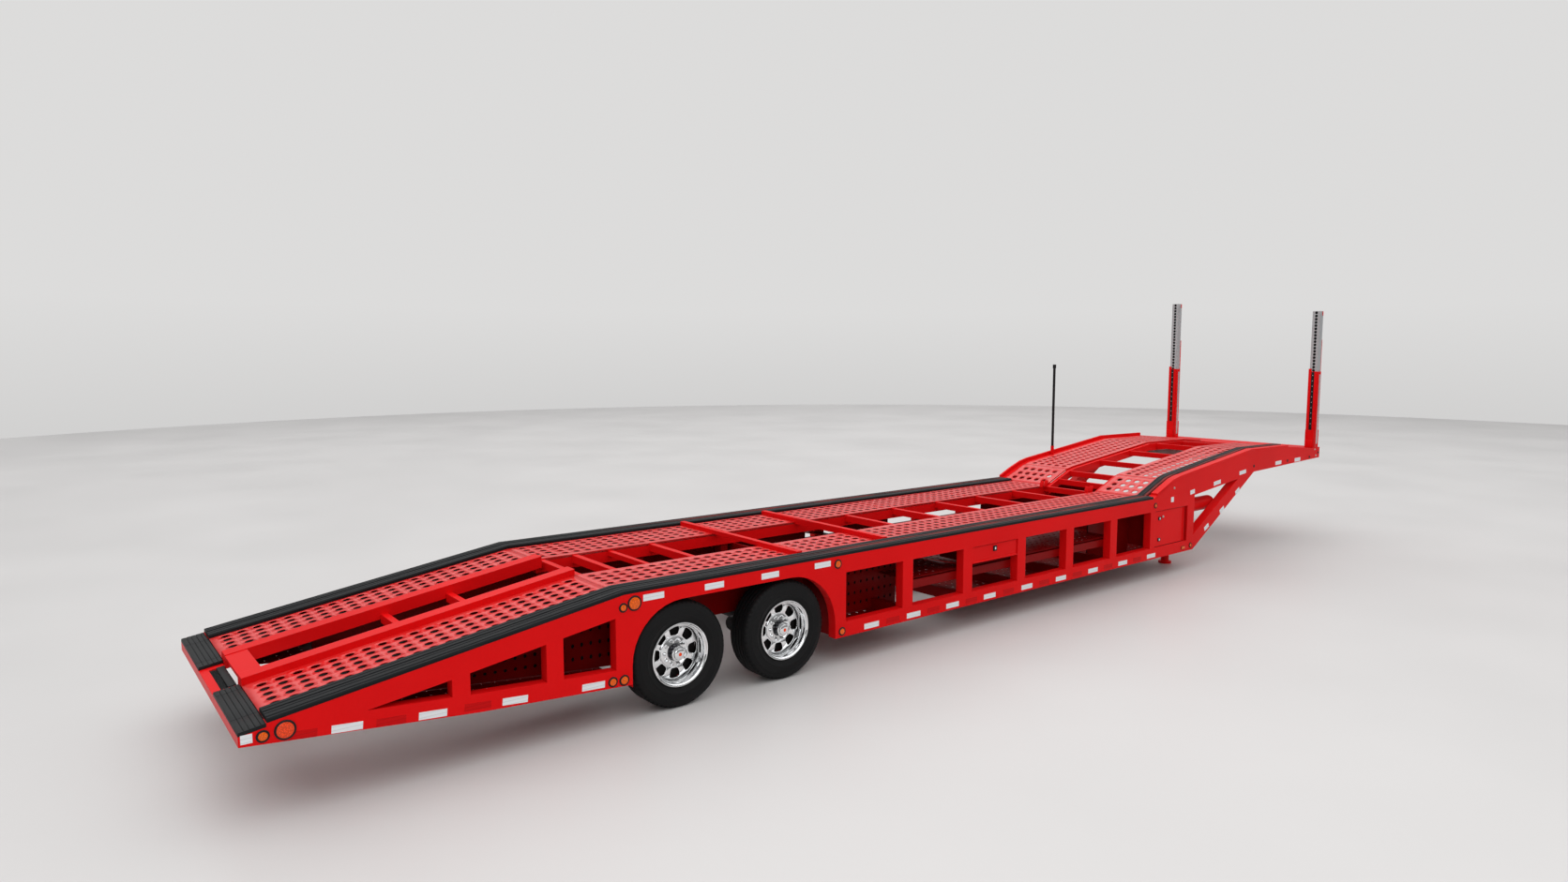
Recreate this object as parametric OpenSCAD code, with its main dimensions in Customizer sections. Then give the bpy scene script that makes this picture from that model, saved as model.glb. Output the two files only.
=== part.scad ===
// Car transporter semi-trailer: a low wedge deck on two single-tyred axles,
// a windowed belly, a raised gooseneck and two telescoping head posts.
// +X is forward, +Y is left, +Z is up. X is worked out from the rear end and
// moved so that the origin lies on the ground under the middle of the trailer.

/* [Overall] */
// Length from the rear beam to the front of the gooseneck
overall_l = 15850; // [15000:50:16200]
// Width over the outer faces of the side frames
side_w = 2591; // [2500:1:2600]
// Thickness of a side frame
side_t = 100; // [80:5:120]

/* [Deck heights] */
// Height of the ramp's top at the rear end
ramp_low_z = 646; // [600:1:700]
// Height of the flat deck
deck_z = 1095; // [1070:5:1150]
// Height of the side frame's lower edge along the belly
belly_z = 279; // [240:1:320]
// Height of the side frame's lower edge at the rear end
tail_z = 550; // [500:1:580]
// Height of the lower deck in the belly
lower_deck_z = 690; // [660:5:760]

/* [Lengths from the rear end] */
// Where the ramp meets the flat deck
knee_x = 2810; // [2700:10:2870]
// Where the flat deck meets the slope up to the gooseneck
slope_x = 10800; // [10790:10:10820]
// Front end of the belly
belly_end_x = 11870; // [11850:10:11950]
// Distance from the front end back to the end of the gooseneck's runways
neck_way_back = 600; // [550:10:700]

/* [Side windows] */
// Width of a belly window
window_w = 790; // [700:10:800]
// Distance from one belly window to the next
window_pitch = 939; // [920:1:940]
// Lower edge of the belly windows
window_low_z = 428; // [400:1:450]
// Upper edge of the belly windows
window_high_z = 921; // [900:1:940]

/* [Runways] */
// Distance from the middle to a runway's inner edge
way_in = 410; // [380:5:440]
// Thickness of a runway
way_t = 25; // [20:1:30]
// Width of the black edge strip
strip_w = 250; // [220:5:280]
// Thickness of the black edge strip
strip_t = 34; // [25:1:40]
// Width of a ramp rail
rail_w = 140; // [100:5:160]
// How far a ramp rail stands above the ramp
rail_rise = 55; // [40:5:70]

/* [Wheels] */
// Outer diameter of a tyre
tyre_d = 941; // [920:1:945]
// Width of a tyre
tyre_w = 280; // [250:5:290]
// Distance from the rear end to the rear axle
axle_x = 3373; // [3360:1:3385]
// Distance between the two axles
axle_gap = 1157; // [1100:1:1170]
// How far a tyre's outer face lies inside the side frames' outer faces
tyre_inset = 20.5; // [15:0.5:30]
// Diameter of the rim's flange
rim_d = 564; // [550:2:580]
// Radius of an axle's spindle
spindle_r = 45; // [40:1:50]
// Radial clearance of the hub's bore on the spindle
spindle_gap = 0.05; // [0.02:0.01:0.1]

/* [Head posts] */
// Distance from the front end back to a post's axis
post_back = 150; // [120:10:200]
// Outer width of a post's sleeve
sleeve_w = 136; // [126:2:146]
// Wall of a post's sleeve
sleeve_wall = 10; // [8:1:12]
// Top of the sleeve
sleeve_top_z = 2720; // [2600:10:2850]
// Top of the red bar in front of each sleeve
post_bar_top_z = 3240; // [3000:10:3400]
// Top of the right inner post as it is parked
right_post_top_z = 3700; // [3600:10:3750]
// Top of the left inner post as it is parked
left_post_top_z = 3900; // [3800:10:3950]
// Length of an inner post
inner_post_l = 1560; // [1500:10:1600]
// Running gap between an inner post and its sleeve
post_gap = 0.3; // [0.2:0.1:1]

/* [Toolbox doors] */
// Running gap around a door
door_gap = 8; // [6:1:12]
// Thickness of a door
door_t = 16; // [12:1:20]
// Radius of a hinge rod
hinge_r = 5; // [4:0.5:6]
// Radial clearance of a hinge barrel on its rod
hinge_gap = 0.1; // [0.05:0.01:0.2]

/* [Kingpin] */
// Radius of the kingpin's shank
kingpin_r = 36.5; // [36:0.1:37]
// Radius of the kingpin's groove
kingpin_groove_r = 25.4; // [25:0.1:26]
// Distance from the front end back to the kingpin
kingpin_back = 900; // [800:10:1000]

/* [Hidden] */
$fn = 64;

half_w = side_w/2;
side_in = half_w - side_t;
tyre_r = tyre_d/2;
tyre_out = half_w - tyre_inset;
wheel_y = tyre_out - tyre_w/2;
post_x = overall_l - post_back;
kingpin_x = overall_l - kingpin_back;
neck_way_end_x = overall_l - neck_way_back;
axle_xs = [axle_x, axle_x + axle_gap];

// Height of the deck's surface at a distance from the rear end
ramp_slope = (deck_z - ramp_low_z)/knee_x;
function deck_at(x) = x < knee_x ? ramp_low_z + x*ramp_slope : deck_z;

// Level seat of the head posts at the front end
post_low_z = deck_z + 378;
post_seat_l = 300;

// Slope up to the gooseneck, its crest and the brow ahead of it
slope_l = 500;
slope_rise = 198;
crest_x = overall_l - 2350;
crest_z = deck_z + 470;
brow_x = overall_l - 1150;
lip_end_x = overall_l - 1100;

// Top and bottom edges of the gooseneck's side beam, from the slope forward
neck_top = [[slope_x, deck_z], [slope_x + 230, deck_z + 99],
    [slope_x + slope_l, deck_z + slope_rise], [slope_x + 655, deck_z + 230],
    [crest_x, crest_z], [brow_x, deck_z + 454],
    [overall_l - post_seat_l, post_low_z], [overall_l, post_low_z]];
neck_low = [[overall_l, deck_z + 207], [belly_end_x + 1720, deck_z + 146],
    [belly_end_x + 1510, deck_z + 106], [belly_end_x, deck_z - 45],
    [belly_end_x, deck_z]];

// Height of a line of points at a distance from the rear end
function on_line(pts, x, i = 0) =
    i >= len(pts) - 2 || x <= pts[i + 1][0]
        ? pts[i][1] + (pts[i + 1][1] - pts[i][1])*(x - pts[i][0])/(pts[i + 1][0] - pts[i][0])
        : on_line(pts, x, i + 1);

// Wheel arch
arch_top_z = tyre_d + 31;
arch_rear_x = axle_x - tyre_r - 23;
arch_rear_r = tyre_r + 24.5;
arch_front_x = axle_x + axle_gap + tyre_r + 127;
arch_front_r = tyre_r + 79.5;
// Belly windows
window_x = arch_front_x + 138;
window_count = 6;
side_toolbox_i = 2;
// Front toolbox opening
front_box_x = slope_x + 60;
front_box_l = 830;
front_door_l = 735;
front_box_depth = 300;
side_box_depth = 380;
side_door_low_z = 742;
box_wall = 5;
barrel_r = hinge_r + 5;
hinge_y = half_w - barrel_r;
door_out = hinge_y - 4;
// Runway panels
way_out = side_in;
way_edge = half_w - strip_w - 0.5;
panel_gap = 4;
neck_way_in = way_in + 20;
plate_front_x = 167;
raised_bar_xs = [4850, 6010];
bar_w = 60;
cross_xs = [1340, 1900, knee_x + 30, 3190, 4060, 6800, 7600, 8400, 9200, 10000, slope_x - bar_w];
neck_cross_xs = [slope_x + 240, slope_x + 520, slope_x + 1300, slope_x + 2100, crest_x + 200, brow_x - 200];
cross_d = 75;
rail_d = 110;
// Underside of the coupler plate
coupler_z = deck_z + 195;
// Landing legs
leg_y = half_w - 445.5;
leg_w = 120;
leg_x = belly_end_x + leg_w/2;
foot_r = 89;
// Suspension
spring_y = half_w - 795.5;
spring_l = 900;
spring_w = 76;
spring_t = 60;
spring_seat = 10;
spring_r = 2600;
spring_a = asin(spring_l/2/spring_r);
hanger_w = 100;
seat_gap = 0.3;
tank_r = 100;
tank_z = deck_z - 250;
strut_in = side_in - 20;
axle_r = 63.5;
axle_end = wheel_y - 165;
disc_y = wheel_y + 55;
post_y = half_w - sleeve_w/2 - 5;
// Marker pole and the lip that carries its holder
lip_t = 30;
lip_h = 50;
pole_x = belly_end_x + 205;
pole_r = 20;
pole_y = half_w - lip_t - pole_r - 4;
pole_low_z = on_line(neck_top, pole_x + pole_r + 6) + seat_gap;
pole_top_z = 2840;

red = [0.80, 0.05, 0.05];
black = [0.06, 0.06, 0.065];
silver = [0.75, 0.76, 0.78];
amber = [0.95, 0.45, 0.05];

// ---------- helpers ----------

// Children laid out from the rear end, moved to the trailer's own frame
module from_rear() {
    translate([-overall_l/2, 0, 0]) children();
}

// An outline in X and Z, given thickness from y0 to y1
module across(y0, y1) {
    translate([0, y1, 0]) rotate([90, 0, 0]) linear_extrude(y1 - y0) children();
}

// The same piece on both sides
module both_sides() {
    children();
    mirror([0, 1, 0]) children();
}

// A block given by its low and high corners
module block(low, high) {
    translate(low) cube(high - low);
}

// A band under a top line, t thick, between two distances from the rear end
module band(pts, t) {
    n = len(pts);
    polygon([for (i = [0:n - 1]) pts[i], for (i = [n - 1:-1:0]) pts[i] - [0, t]]);
}

// ---------- side frames ----------

module arch_outline() {
    r = arch_rear_r;
    f = arch_front_r;
    polygon([
        [arch_rear_x, belly_z - 200],
        for (a = [180:-10:90]) [arch_rear_x + r + r*cos(a), arch_top_z - r + r*sin(a)],
        for (a = [90:-10:0]) [arch_front_x - f + f*cos(a), arch_top_z - f + f*sin(a)],
        [arch_front_x, belly_z - 200]]);
}

module side_outline() {
    x = plate_front_x;
    polygon([[0, tail_z], [0, ramp_low_z - way_t], [x, deck_at(x) - way_t], [x, deck_at(x)],
        [knee_x, deck_z], [belly_end_x, deck_z],
        [belly_end_x, belly_z], [arch_front_x, belly_z], [arch_front_x, belly_z + 20],
        [arch_rear_x, belly_z + 20], [arch_rear_x - 5, belly_z + 46], [1590, tail_z - 148]]);
}

// Height of the side frame's lower edge under the ramp
function tail_edge(x) = on_line([[0, tail_z], [1590, tail_z - 148], [arch_rear_x - 5, belly_z + 46]], x);

module ramp_windows() {
    chord = 172;
    sill = 142;
    polygon([[790, tail_edge(790) + sill - 10], [1383, tail_edge(1383) + sill],
        [1383, deck_at(1383) - chord]]);
    for (w = [[1518, 2122], [2265, 2729]])
        polygon([[w[0], tail_edge(w[0]) + sill], [w[0], deck_at(w[0]) - chord],
            [w[1], deck_at(w[1]) - chord], [w[1], tail_edge(w[1]) + sill]]);
}

module side_frame() {
    color(red) from_rear() across(-half_w, -side_in) difference() {
        side_outline();
        arch_outline();
        ramp_windows();
        for (i = [0:window_count - 1])
            translate([window_x + i*window_pitch, window_low_z])
                square([window_w, window_high_z - window_low_z]);
        translate([front_box_x, window_low_z]) square([front_box_l, window_high_z - window_low_z]);
    }
}

module side_frame_right() { side_frame(); }
module side_frame_left() { mirror([0, 1, 0]) side_frame(); }

// ---------- gooseneck ----------

module neck_beams() {
    color(red) from_rear() both_sides() across(-half_w, -side_in)
        polygon(concat(neck_top, neck_low));
}

module neck_struts() {
    color(red) from_rear() both_sides() across(-half_w, -strut_in) polygon([
        [belly_end_x, belly_z], [belly_end_x, belly_z + 212], [belly_end_x + 1228, deck_z + 75],
        [belly_end_x + 1228, on_line([neck_low[3], neck_low[2]], belly_end_x + 1228)],
        neck_low[2], neck_low[1]]);
}

module front_crossbeam() {
    x = overall_l - post_seat_l;
    color(red) from_rear() union() {
        block([x, -side_in, post_low_z - 160], [overall_l, side_in, post_low_z]);
        block([neck_way_end_x, -side_in, post_low_z - 60], [x, side_in, post_low_z]);
    }
}

// ---------- rear end ----------

module rear_crossbeam() {
    color(red) from_rear() union() {
        across(-side_in, side_in) polygon([[0, tail_z], [0, ramp_low_z - way_t],
            [60, deck_at(60) - way_t], [60, tail_z]]);
        both_sides() across(-side_in, -way_in + rail_w) polygon([[60, deck_at(60) - way_t - 40],
            [60, deck_at(60) - way_t], [plate_front_x, deck_at(plate_front_x) - way_t],
            [plate_front_x, deck_at(plate_front_x) - way_t - 40]]);
    }
}

module rear_wear_plates() {
    inner = way_in - rail_w - 5;
    color(black) from_rear() {
        both_sides() across(-half_w, -way_in + rail_w/2)
            band([[0, ramp_low_z], [plate_front_x, deck_at(plate_front_x)]], way_t);
        across(-inner, inner) band([[60, deck_at(60) - 25], [plate_front_x, deck_at(plate_front_x) - 25]], way_t);
    }
}

// ---------- runways ----------

module ramp_runways() {
    x0 = plate_front_x + panel_gap;
    x1 = knee_x - panel_gap;
    color(red) from_rear() both_sides() across(-way_out, -way_in)
        band([[x0, deck_at(x0)], [x1, deck_at(x1)]], way_t);
}

module ramp_rails() {
    x0 = plate_front_x + panel_gap;
    x1 = knee_x;
    color(red) from_rear() both_sides() across(-way_in, -way_in + rail_w)
        band([[x0, deck_at(x0) + rail_rise], [x1, deck_at(x1) + rail_rise]], rail_d);
}

module deck_runways() {
    spans = [[knee_x, raised_bar_xs[1] - panel_gap], [raised_bar_xs[1] + bar_w, slope_x - panel_gap]];
    color(red) from_rear() both_sides() for (s = spans) {
        block([s[0], -way_edge, deck_z - way_t], [s[1], -way_in, deck_z]);
        block([s[0], -way_out, deck_z - way_t], [s[1], -way_edge - seat_gap, deck_z]);
    }
}

module deck_rails() {
    color(red) from_rear() both_sides()
        block([knee_x, -way_in - 60, deck_z - way_t - rail_d], [slope_x - panel_gap, -way_in, deck_z - way_t]);
}

module neck_runways() {
    x1 = slope_x + slope_l;
    x2 = neck_way_end_x - panel_gap;
    low = way_t + 1;
    slope_line = [[slope_x, deck_z], [x1, deck_z + slope_rise]];
    neck_line = [[x1 + panel_gap, on_line(neck_top, x1 + panel_gap)], [slope_x + 655, deck_z + 230],
        [crest_x, crest_z], [brow_x, deck_z + 454], [x2, on_line(neck_top, x2)]];
    color(red) from_rear() both_sides() across(-way_out, -neck_way_in) {
        band(slope_line, way_t);
        band(neck_line, way_t);
    }
    color(red) from_rear() both_sides() across(-neck_way_in - 60, -neck_way_in)
        polygon([[slope_x, deck_z - low], [x1, deck_z + slope_rise - low],
            [slope_x + 655, deck_z + 230 - low], [crest_x, crest_z - low],
            [x2, on_line(neck_top, x2) - low], [x2, on_line(neck_top, x2) - low - rail_d],
            [crest_x, crest_z - low - rail_d], [slope_x, deck_z - low - rail_d]]);
}

// ---------- crossmembers ----------

module crossmembers() {
    color(red) from_rear() {
        for (x = cross_xs) {
            inner = x < knee_x ? way_in - rail_w : way_in;
            block([x, -inner, deck_at(x) - cross_d - 10], [x + bar_w, inner, deck_at(x) - 10]);
        }
        for (x = cross_xs) if (x > knee_x) both_sides()
            block([x, -side_in, deck_z - way_t - rail_d], [x + bar_w, -way_in - 60, deck_z - way_t]);
        for (x = neck_cross_xs)
            block([x, -neck_way_in, on_line(neck_top, x) - cross_d - 30],
                [x + bar_w, neck_way_in, on_line(neck_top, x) - 30]);
        plate = [for (x = [plate_front_x + panel_gap, plate_front_x + 160]) [x, deck_at(x) + rail_rise - 5]];
        across(-way_in + rail_w, way_in - rail_w) band(plate, way_t);
        block([3580, -way_in, deck_z - 70], [3630, way_in, deck_z - 20]);
    }
}

module raised_crossbars() {
    w = half_w - strip_w;
    color(red) from_rear() {
        block([raised_bar_xs[0], -w, deck_z], [raised_bar_xs[0] + bar_w, w, deck_z + 45]);
        block([raised_bar_xs[1], -w, deck_z - way_t], [raised_bar_xs[1] + bar_w, w, deck_z + 45]);
    }
}

// ---------- edge strips ----------

module edge_strip(front) {
    color(black) from_rear() translate([0, 0, seat_gap]) across(-half_w, -half_w + strip_w)
        band(concat([[plate_front_x + panel_gap, deck_at(plate_front_x + panel_gap) + strip_t],
            [knee_x, deck_z + strip_t], [slope_x, deck_z + strip_t]],
            [for (p = neck_top) if (p[0] > slope_x && p[0] < front) p + [0, strip_t]]), strip_t);
}

module edge_strip_right() { edge_strip(lip_end_x); }
module edge_strip_left() { mirror([0, 1, 0]) edge_strip(slope_x); }

module neck_lip_left() {
    start = [slope_x + 20, on_line(neck_top, slope_x + 20)];
    pts = [for (p = neck_top) if (p[0] > slope_x && p[0] < lip_end_x) p];
    color(red) from_rear() union() {
        across(half_w - lip_t, half_w) band([for (p = concat([start], pts)) p + [0, lip_h]], lip_h);
        translate([pole_x, pole_y, pole_low_z]) difference() {
            cylinder(r = pole_r + 6, h = 130);
            translate([0, 0, 15]) cylinder(r = pole_r + 0.3, h = 130);
        }
    }
}

// ---------- belly ----------

module lower_deck() {
    color(red) from_rear() both_sides()
        block([window_x + window_pitch, -side_in, lower_deck_z - way_t],
            [window_x + 5*window_pitch, -way_in, lower_deck_z]);
}

module belly_beams() {
    x0 = window_x + window_pitch;
    x1 = window_x + 5*window_pitch;
    bulkhead_x = axle_x + axle_gap + spring_l/2 + 147.5;
    color(red) from_rear() {
        both_sides() block([x0, -side_in, lower_deck_z - way_t - 90], [x1, -side_in + 60, lower_deck_z - way_t]);
        for (i = [1:5]) {
            x = window_x + i*window_pitch - 110;
            block([x, -side_in, belly_z + 20], [x + 60, side_in, belly_z + 140]);
        }
        block([bulkhead_x, -side_in, belly_z + 20], [bulkhead_x + 20, side_in, deck_z - way_t - rail_d]);
        block([belly_end_x - 20, -side_in, belly_z], [belly_end_x, side_in, deck_z - way_t - rail_d]);
    }
}

// ---------- toolboxes ----------

// A box open at its outer side, behind an opening of the side frame
module box_shell(x0, z0, l, h, depth) {
    difference() {
        block([x0, -side_in, z0], [x0 + l, -side_in + depth, z0 + h]);
        block([x0 + box_wall, -side_in - 1, z0 + box_wall],
            [x0 + l - box_wall, -side_in + depth - box_wall, z0 + h - box_wall]);
    }
}

module front_toolboxes() {
    h = window_high_z - window_low_z;
    color(red) from_rear() both_sides() {
        box_shell(front_box_x, window_low_z, front_box_l, h, front_box_depth);
        translate([front_box_x + door_gap + front_door_l, -hinge_y, window_low_z]) cylinder(r = hinge_r, h = h);
    }
}

module side_toolboxes() {
    x0 = window_x + side_toolbox_i*window_pitch;
    color(red) from_rear() both_sides() {
        box_shell(x0, side_door_low_z, window_w, window_high_z - side_door_low_z, side_box_depth);
        translate([x0, -hinge_y, side_door_low_z]) rotate([0, 90, 0]) cylinder(r = hinge_r, h = window_w);
    }
}

module front_door() {
    h = window_high_z - window_low_z - 2*door_gap;
    x1 = front_box_x + door_gap + front_door_l;
    color(red) from_rear() translate([0, 0, window_low_z + door_gap]) difference() {
        union() {
            block([front_box_x + door_gap, -door_out, 0], [x1, -door_out + door_t, h]);
            translate([x1, -hinge_y, 0]) cylinder(r = barrel_r, h = h);
        }
        translate([x1, -hinge_y, -1]) cylinder(r = hinge_r + hinge_gap, h = h + 2);
    }
}

module side_door() {
    x0 = window_x + side_toolbox_i*window_pitch + door_gap;
    l = window_w - 2*door_gap;
    color(red) from_rear() difference() {
        union() {
            block([x0, -door_out, side_door_low_z], [x0 + l, -door_out + door_t, window_high_z - door_gap]);
            translate([x0, -hinge_y, side_door_low_z]) rotate([0, 90, 0]) cylinder(r = barrel_r, h = l);
        }
        translate([x0 - 1, -hinge_y, side_door_low_z]) rotate([0, 90, 0])
            cylinder(r = hinge_r + hinge_gap, h = l + 2);
    }
}

module front_toolbox_door_right() { front_door(); }
module front_toolbox_door_left() { mirror([0, 1, 0]) front_door(); }
module side_toolbox_door_right() { side_door(); }
module side_toolbox_door_left() { mirror([0, 1, 0]) side_door(); }

// ---------- stands, tanks and coupling ----------

module landing_legs() {
    color(red) from_rear() both_sides() translate([leg_x, -leg_y, 0]) {
        cylinder(r = foot_r, h = 30);
        translate([0, 0, 30]) cylinder(r = 55, h = 200);
        translate([-leg_w/2, -leg_w/2, 230]) cube([leg_w, leg_w, deck_z - 330]);
    }
}

module air_tanks() {
    color(red) from_rear() both_sides()
        translate([belly_end_x, -strut_in + tank_r + 15, tank_z]) rotate([0, 90, 0]) cylinder(r = tank_r, h = 820);
}

module coupler_plate() {
    z = coupler_z;
    color(red) from_rear() union() {
        block([kingpin_x - 900, -side_in, z], [kingpin_x + 400, side_in, z + 12]);
        translate([kingpin_x, 0, z - 84]) {
            cylinder(r = 35.7, h = 14);
            translate([0, 0, 14]) cylinder(r = kingpin_groove_r, h = 35);
            translate([0, 0, 49]) cylinder(r = kingpin_r, h = 36);
        }
    }
}

// ---------- running gear ----------

module spring_hangers() {
    top = deck_z - way_t - rail_d;
    end_x = spring_l/2 + seat_gap;
    low = tyre_r + axle_r + spring_seat + spring_r*(1 - cos(spring_a));
    y0 = -spring_y - hanger_w/2;
    mid_x = axle_x + axle_gap/2;
    color(red) from_rear() both_sides() {
        block([axle_x - end_x - 90, y0, low - 10], [axle_x - end_x, y0 + hanger_w + 20, top]);
        block([axle_x + axle_gap + end_x, y0, low - 10], [axle_x + axle_gap + end_x + 90, y0 + hanger_w + 20, top]);
        union() {
            block([axle_x + end_x, y0, low], [axle_x + axle_gap - end_x, y0 + hanger_w, low + 60]);
            block([mid_x - 45, y0, low], [mid_x + 45, y0 + hanger_w + 20, top]);
        }
    }
}

module leaf_springs() {
    r = spring_r;
    a = spring_a;
    color(black) from_rear() both_sides() for (x = axle_xs)
        translate([x, 0, tyre_r + axle_r + spring_seat + r]) across(-spring_y - spring_w/2, -spring_y + spring_w/2)
            polygon([for (t = [-6:6]) [r*sin(a*t/6), -r*cos(a*t/6)],
                for (t = [6:-1:-6]) [(r - spring_t)*sin(a*t/6), -(r - spring_t)*cos(a*t/6)]]);
}

module axle() {
    rotate([90, 0, 0]) {
        translate([0, 0, -axle_end]) cylinder(r = axle_r, h = 2*axle_end);
        translate([0, 0, -disc_y - 5]) cylinder(r = spindle_r, h = 2*disc_y + 10);
    }
    both_sides() translate([0, -spring_y, 0]) {
        translate([-60, -spring_w/2, 0]) cube([120, spring_w, axle_r + spring_seat]);
    }
}

module axles() {
    color(black) from_rear() for (x = axle_xs) translate([x, 0, tyre_r]) axle();
}

// Outline of a tyre, radius across and axle along, from its middle
bead_r = rim_d/2 - 20;
tyre_h = tyre_r - bead_r;
function tyre_half() = [for (p = [[0, -0.8], [22.935/tyre_h, -0.81], [0.33, -0.96], [0.52, -1], [0.71, -0.97],
    [0.88, -0.9], [0.96, -0.8], [0.995, -0.68], [1, -0.43]]) [bead_r + p[0]*tyre_h, p[1]*tyre_w/2]];

module tyre() {
    half = tyre_half();
    n = len(half);
    rotate([90, 0, 0]) rotate_extrude($fn = 96)
        polygon(concat(half, [for (i = [n - 1:-1:0]) [half[i][0], -half[i][1]]]));
}

// A wheel's outline, with its outer side towards +Z
module rim() {
    lip = tyre_w/2 - 15;
    disc_z = disc_y - wheel_y - 10;
    rotate([90, 0, 0]) difference() {
        rotate_extrude($fn = 96) union() {
            translate([bead_r - 12, -lip]) square([11.7, 2*lip]);
            translate([bead_r - 12, lip - 10]) square([rim_d/2 - bead_r + 12, 10]);
            translate([bead_r - 12, -lip]) square([rim_d/2 - bead_r + 12, 10]);
            translate([0, disc_z - 6]) square([bead_r - 8, 12]);
            translate([0, disc_z - 90]) square([85, 120]);
            translate([0, disc_z + 20]) square([62, 45]);
        }
        translate([0, 0, -200]) cylinder(r = spindle_r + spindle_gap, h = 200 + disc_z + 16);
        for (i = [0:7]) rotate([0, 0, 45*i + 22.5]) translate([0, 0, disc_z - 20]) linear_extrude(40)
            polygon([[135, -26], [135, 26], [bead_r - 50, 50], [bead_r - 38, 0], [bead_r - 50, -50]]);
    }
}

module at_wheel(i) {
    from_rear() translate([axle_xs[i], -wheel_y, tyre_r]) children();
}

module tyre_rear_right() { color(black) at_wheel(0) tyre(); }
module tyre_rear_left() { mirror([0, 1, 0]) tyre_rear_right(); }
module tyre_front_right() { color(black) at_wheel(1) tyre(); }
module tyre_front_left() { mirror([0, 1, 0]) tyre_front_right(); }
module rim_rear_right() { color(silver) at_wheel(0) rim(); }
module rim_rear_left() { mirror([0, 1, 0]) rim_rear_right(); }
module rim_front_right() { color(silver) at_wheel(1) rim(); }
module rim_front_left() { mirror([0, 1, 0]) rim_front_right(); }

// ---------- head posts ----------

inner_w = sleeve_w - 2*(sleeve_wall + post_gap);

module post_sleeves() {
    color(red) from_rear() both_sides() translate([post_x, -post_y, 0]) difference() {
        union() {
            block([-sleeve_w/2, -sleeve_w/2, post_low_z], [sleeve_w/2, sleeve_w/2, sleeve_top_z]);
            block([-sleeve_w/2 - 22, -sleeve_w/2, post_low_z], [sleeve_w/2 + 22, sleeve_w/2, post_low_z + 290]);
            block([sleeve_w/2, -25, post_low_z], [sleeve_w/2 + 38, 25, post_bar_top_z]);
        }
        block([-sleeve_w/2 + sleeve_wall, -sleeve_w/2 + sleeve_wall, post_low_z + 10],
            [sleeve_w/2 - sleeve_wall, sleeve_w/2 - sleeve_wall, sleeve_top_z + 1]);
    }
}

module inner_post(top) {
    color(silver) from_rear() translate([post_x, -post_y, 0]) difference() {
        block([-inner_w/2, -inner_w/2, top - inner_post_l], [inner_w/2, inner_w/2, top]);
        block([-inner_w/2 + 8, -inner_w/2 + 8, top - inner_post_l - 1], [inner_w/2 - 8, inner_w/2 - 8, top - 8]);
    }
}

module inner_post_right() { inner_post(right_post_top_z); }
module inner_post_left() { mirror([0, 1, 0]) inner_post(left_post_top_z); }

module marker_pole() {
    z = pole_low_z + 15 + seat_gap;
    color(black) from_rear() translate([pole_x, pole_y, z]) union() {
        cylinder(r = pole_r, h = pole_top_z - z);
        translate([0, 0, pole_top_z - z - 60]) cylinder(r = pole_r + 6, h = 60);
    }
}

// ---------- lamps ----------

lamp_proud = 12;

module lamp(x, z, r) {
    from_rear() both_sides() translate([x, -half_w, z]) rotate([90, 0, 0]) cylinder(r = r, h = lamp_proud);
}

module marker_lamps() {
    color(amber) {
        for (p = [[143, tail_z + 42], [arch_rear_x - 185, belly_z + 109], [arch_rear_x - 80, belly_z + 101],
            [arch_front_x + 28, deck_z - 76], [arch_front_x + 86, belly_z + 61],
            [slope_x + 55, deck_z - 91], [belly_end_x - 70, belly_z + 66], [knee_x - 10, deck_z - 105]])
            lamp(p[0], p[1], 32);
        lamp(knee_x + 96, deck_z - 84, 55);
        from_rear() both_sides() block([belly_end_x - 310, -half_w - lamp_proud, belly_z + 39],
            [belly_end_x - 230, -half_w, belly_z + 75]);
    }
}

module tail_lamps() {
    color("red") lamp(276, tail_z + 52, 57);
}

side_frame_right();
side_frame_left();
neck_beams();
neck_struts();
front_crossbeam();
rear_crossbeam();
rear_wear_plates();
ramp_runways();
ramp_rails();
deck_runways();
deck_rails();
neck_runways();
crossmembers();
raised_crossbars();
edge_strip_right();
edge_strip_left();
neck_lip_left();
lower_deck();
belly_beams();
front_toolboxes();
side_toolboxes();
front_toolbox_door_right();
front_toolbox_door_left();
side_toolbox_door_right();
side_toolbox_door_left();
landing_legs();
air_tanks();
coupler_plate();
spring_hangers();
leaf_springs();
axles();
tyre_rear_right();
tyre_rear_left();
tyre_front_right();
tyre_front_left();
rim_rear_right();
rim_rear_left();
rim_front_right();
rim_front_left();
post_sleeves();
inner_post_right();
inner_post_left();
marker_pole();
marker_lamps();
tail_lamps();
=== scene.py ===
"""Visible detail of a car transporter semi-trailer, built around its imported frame.

Lengths are metres. +X is forward, +Y is left, +Z is up, and the ground is at Z = 0.
Positions along the trailer are given from its rear end and moved by `along`.
"""

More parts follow.
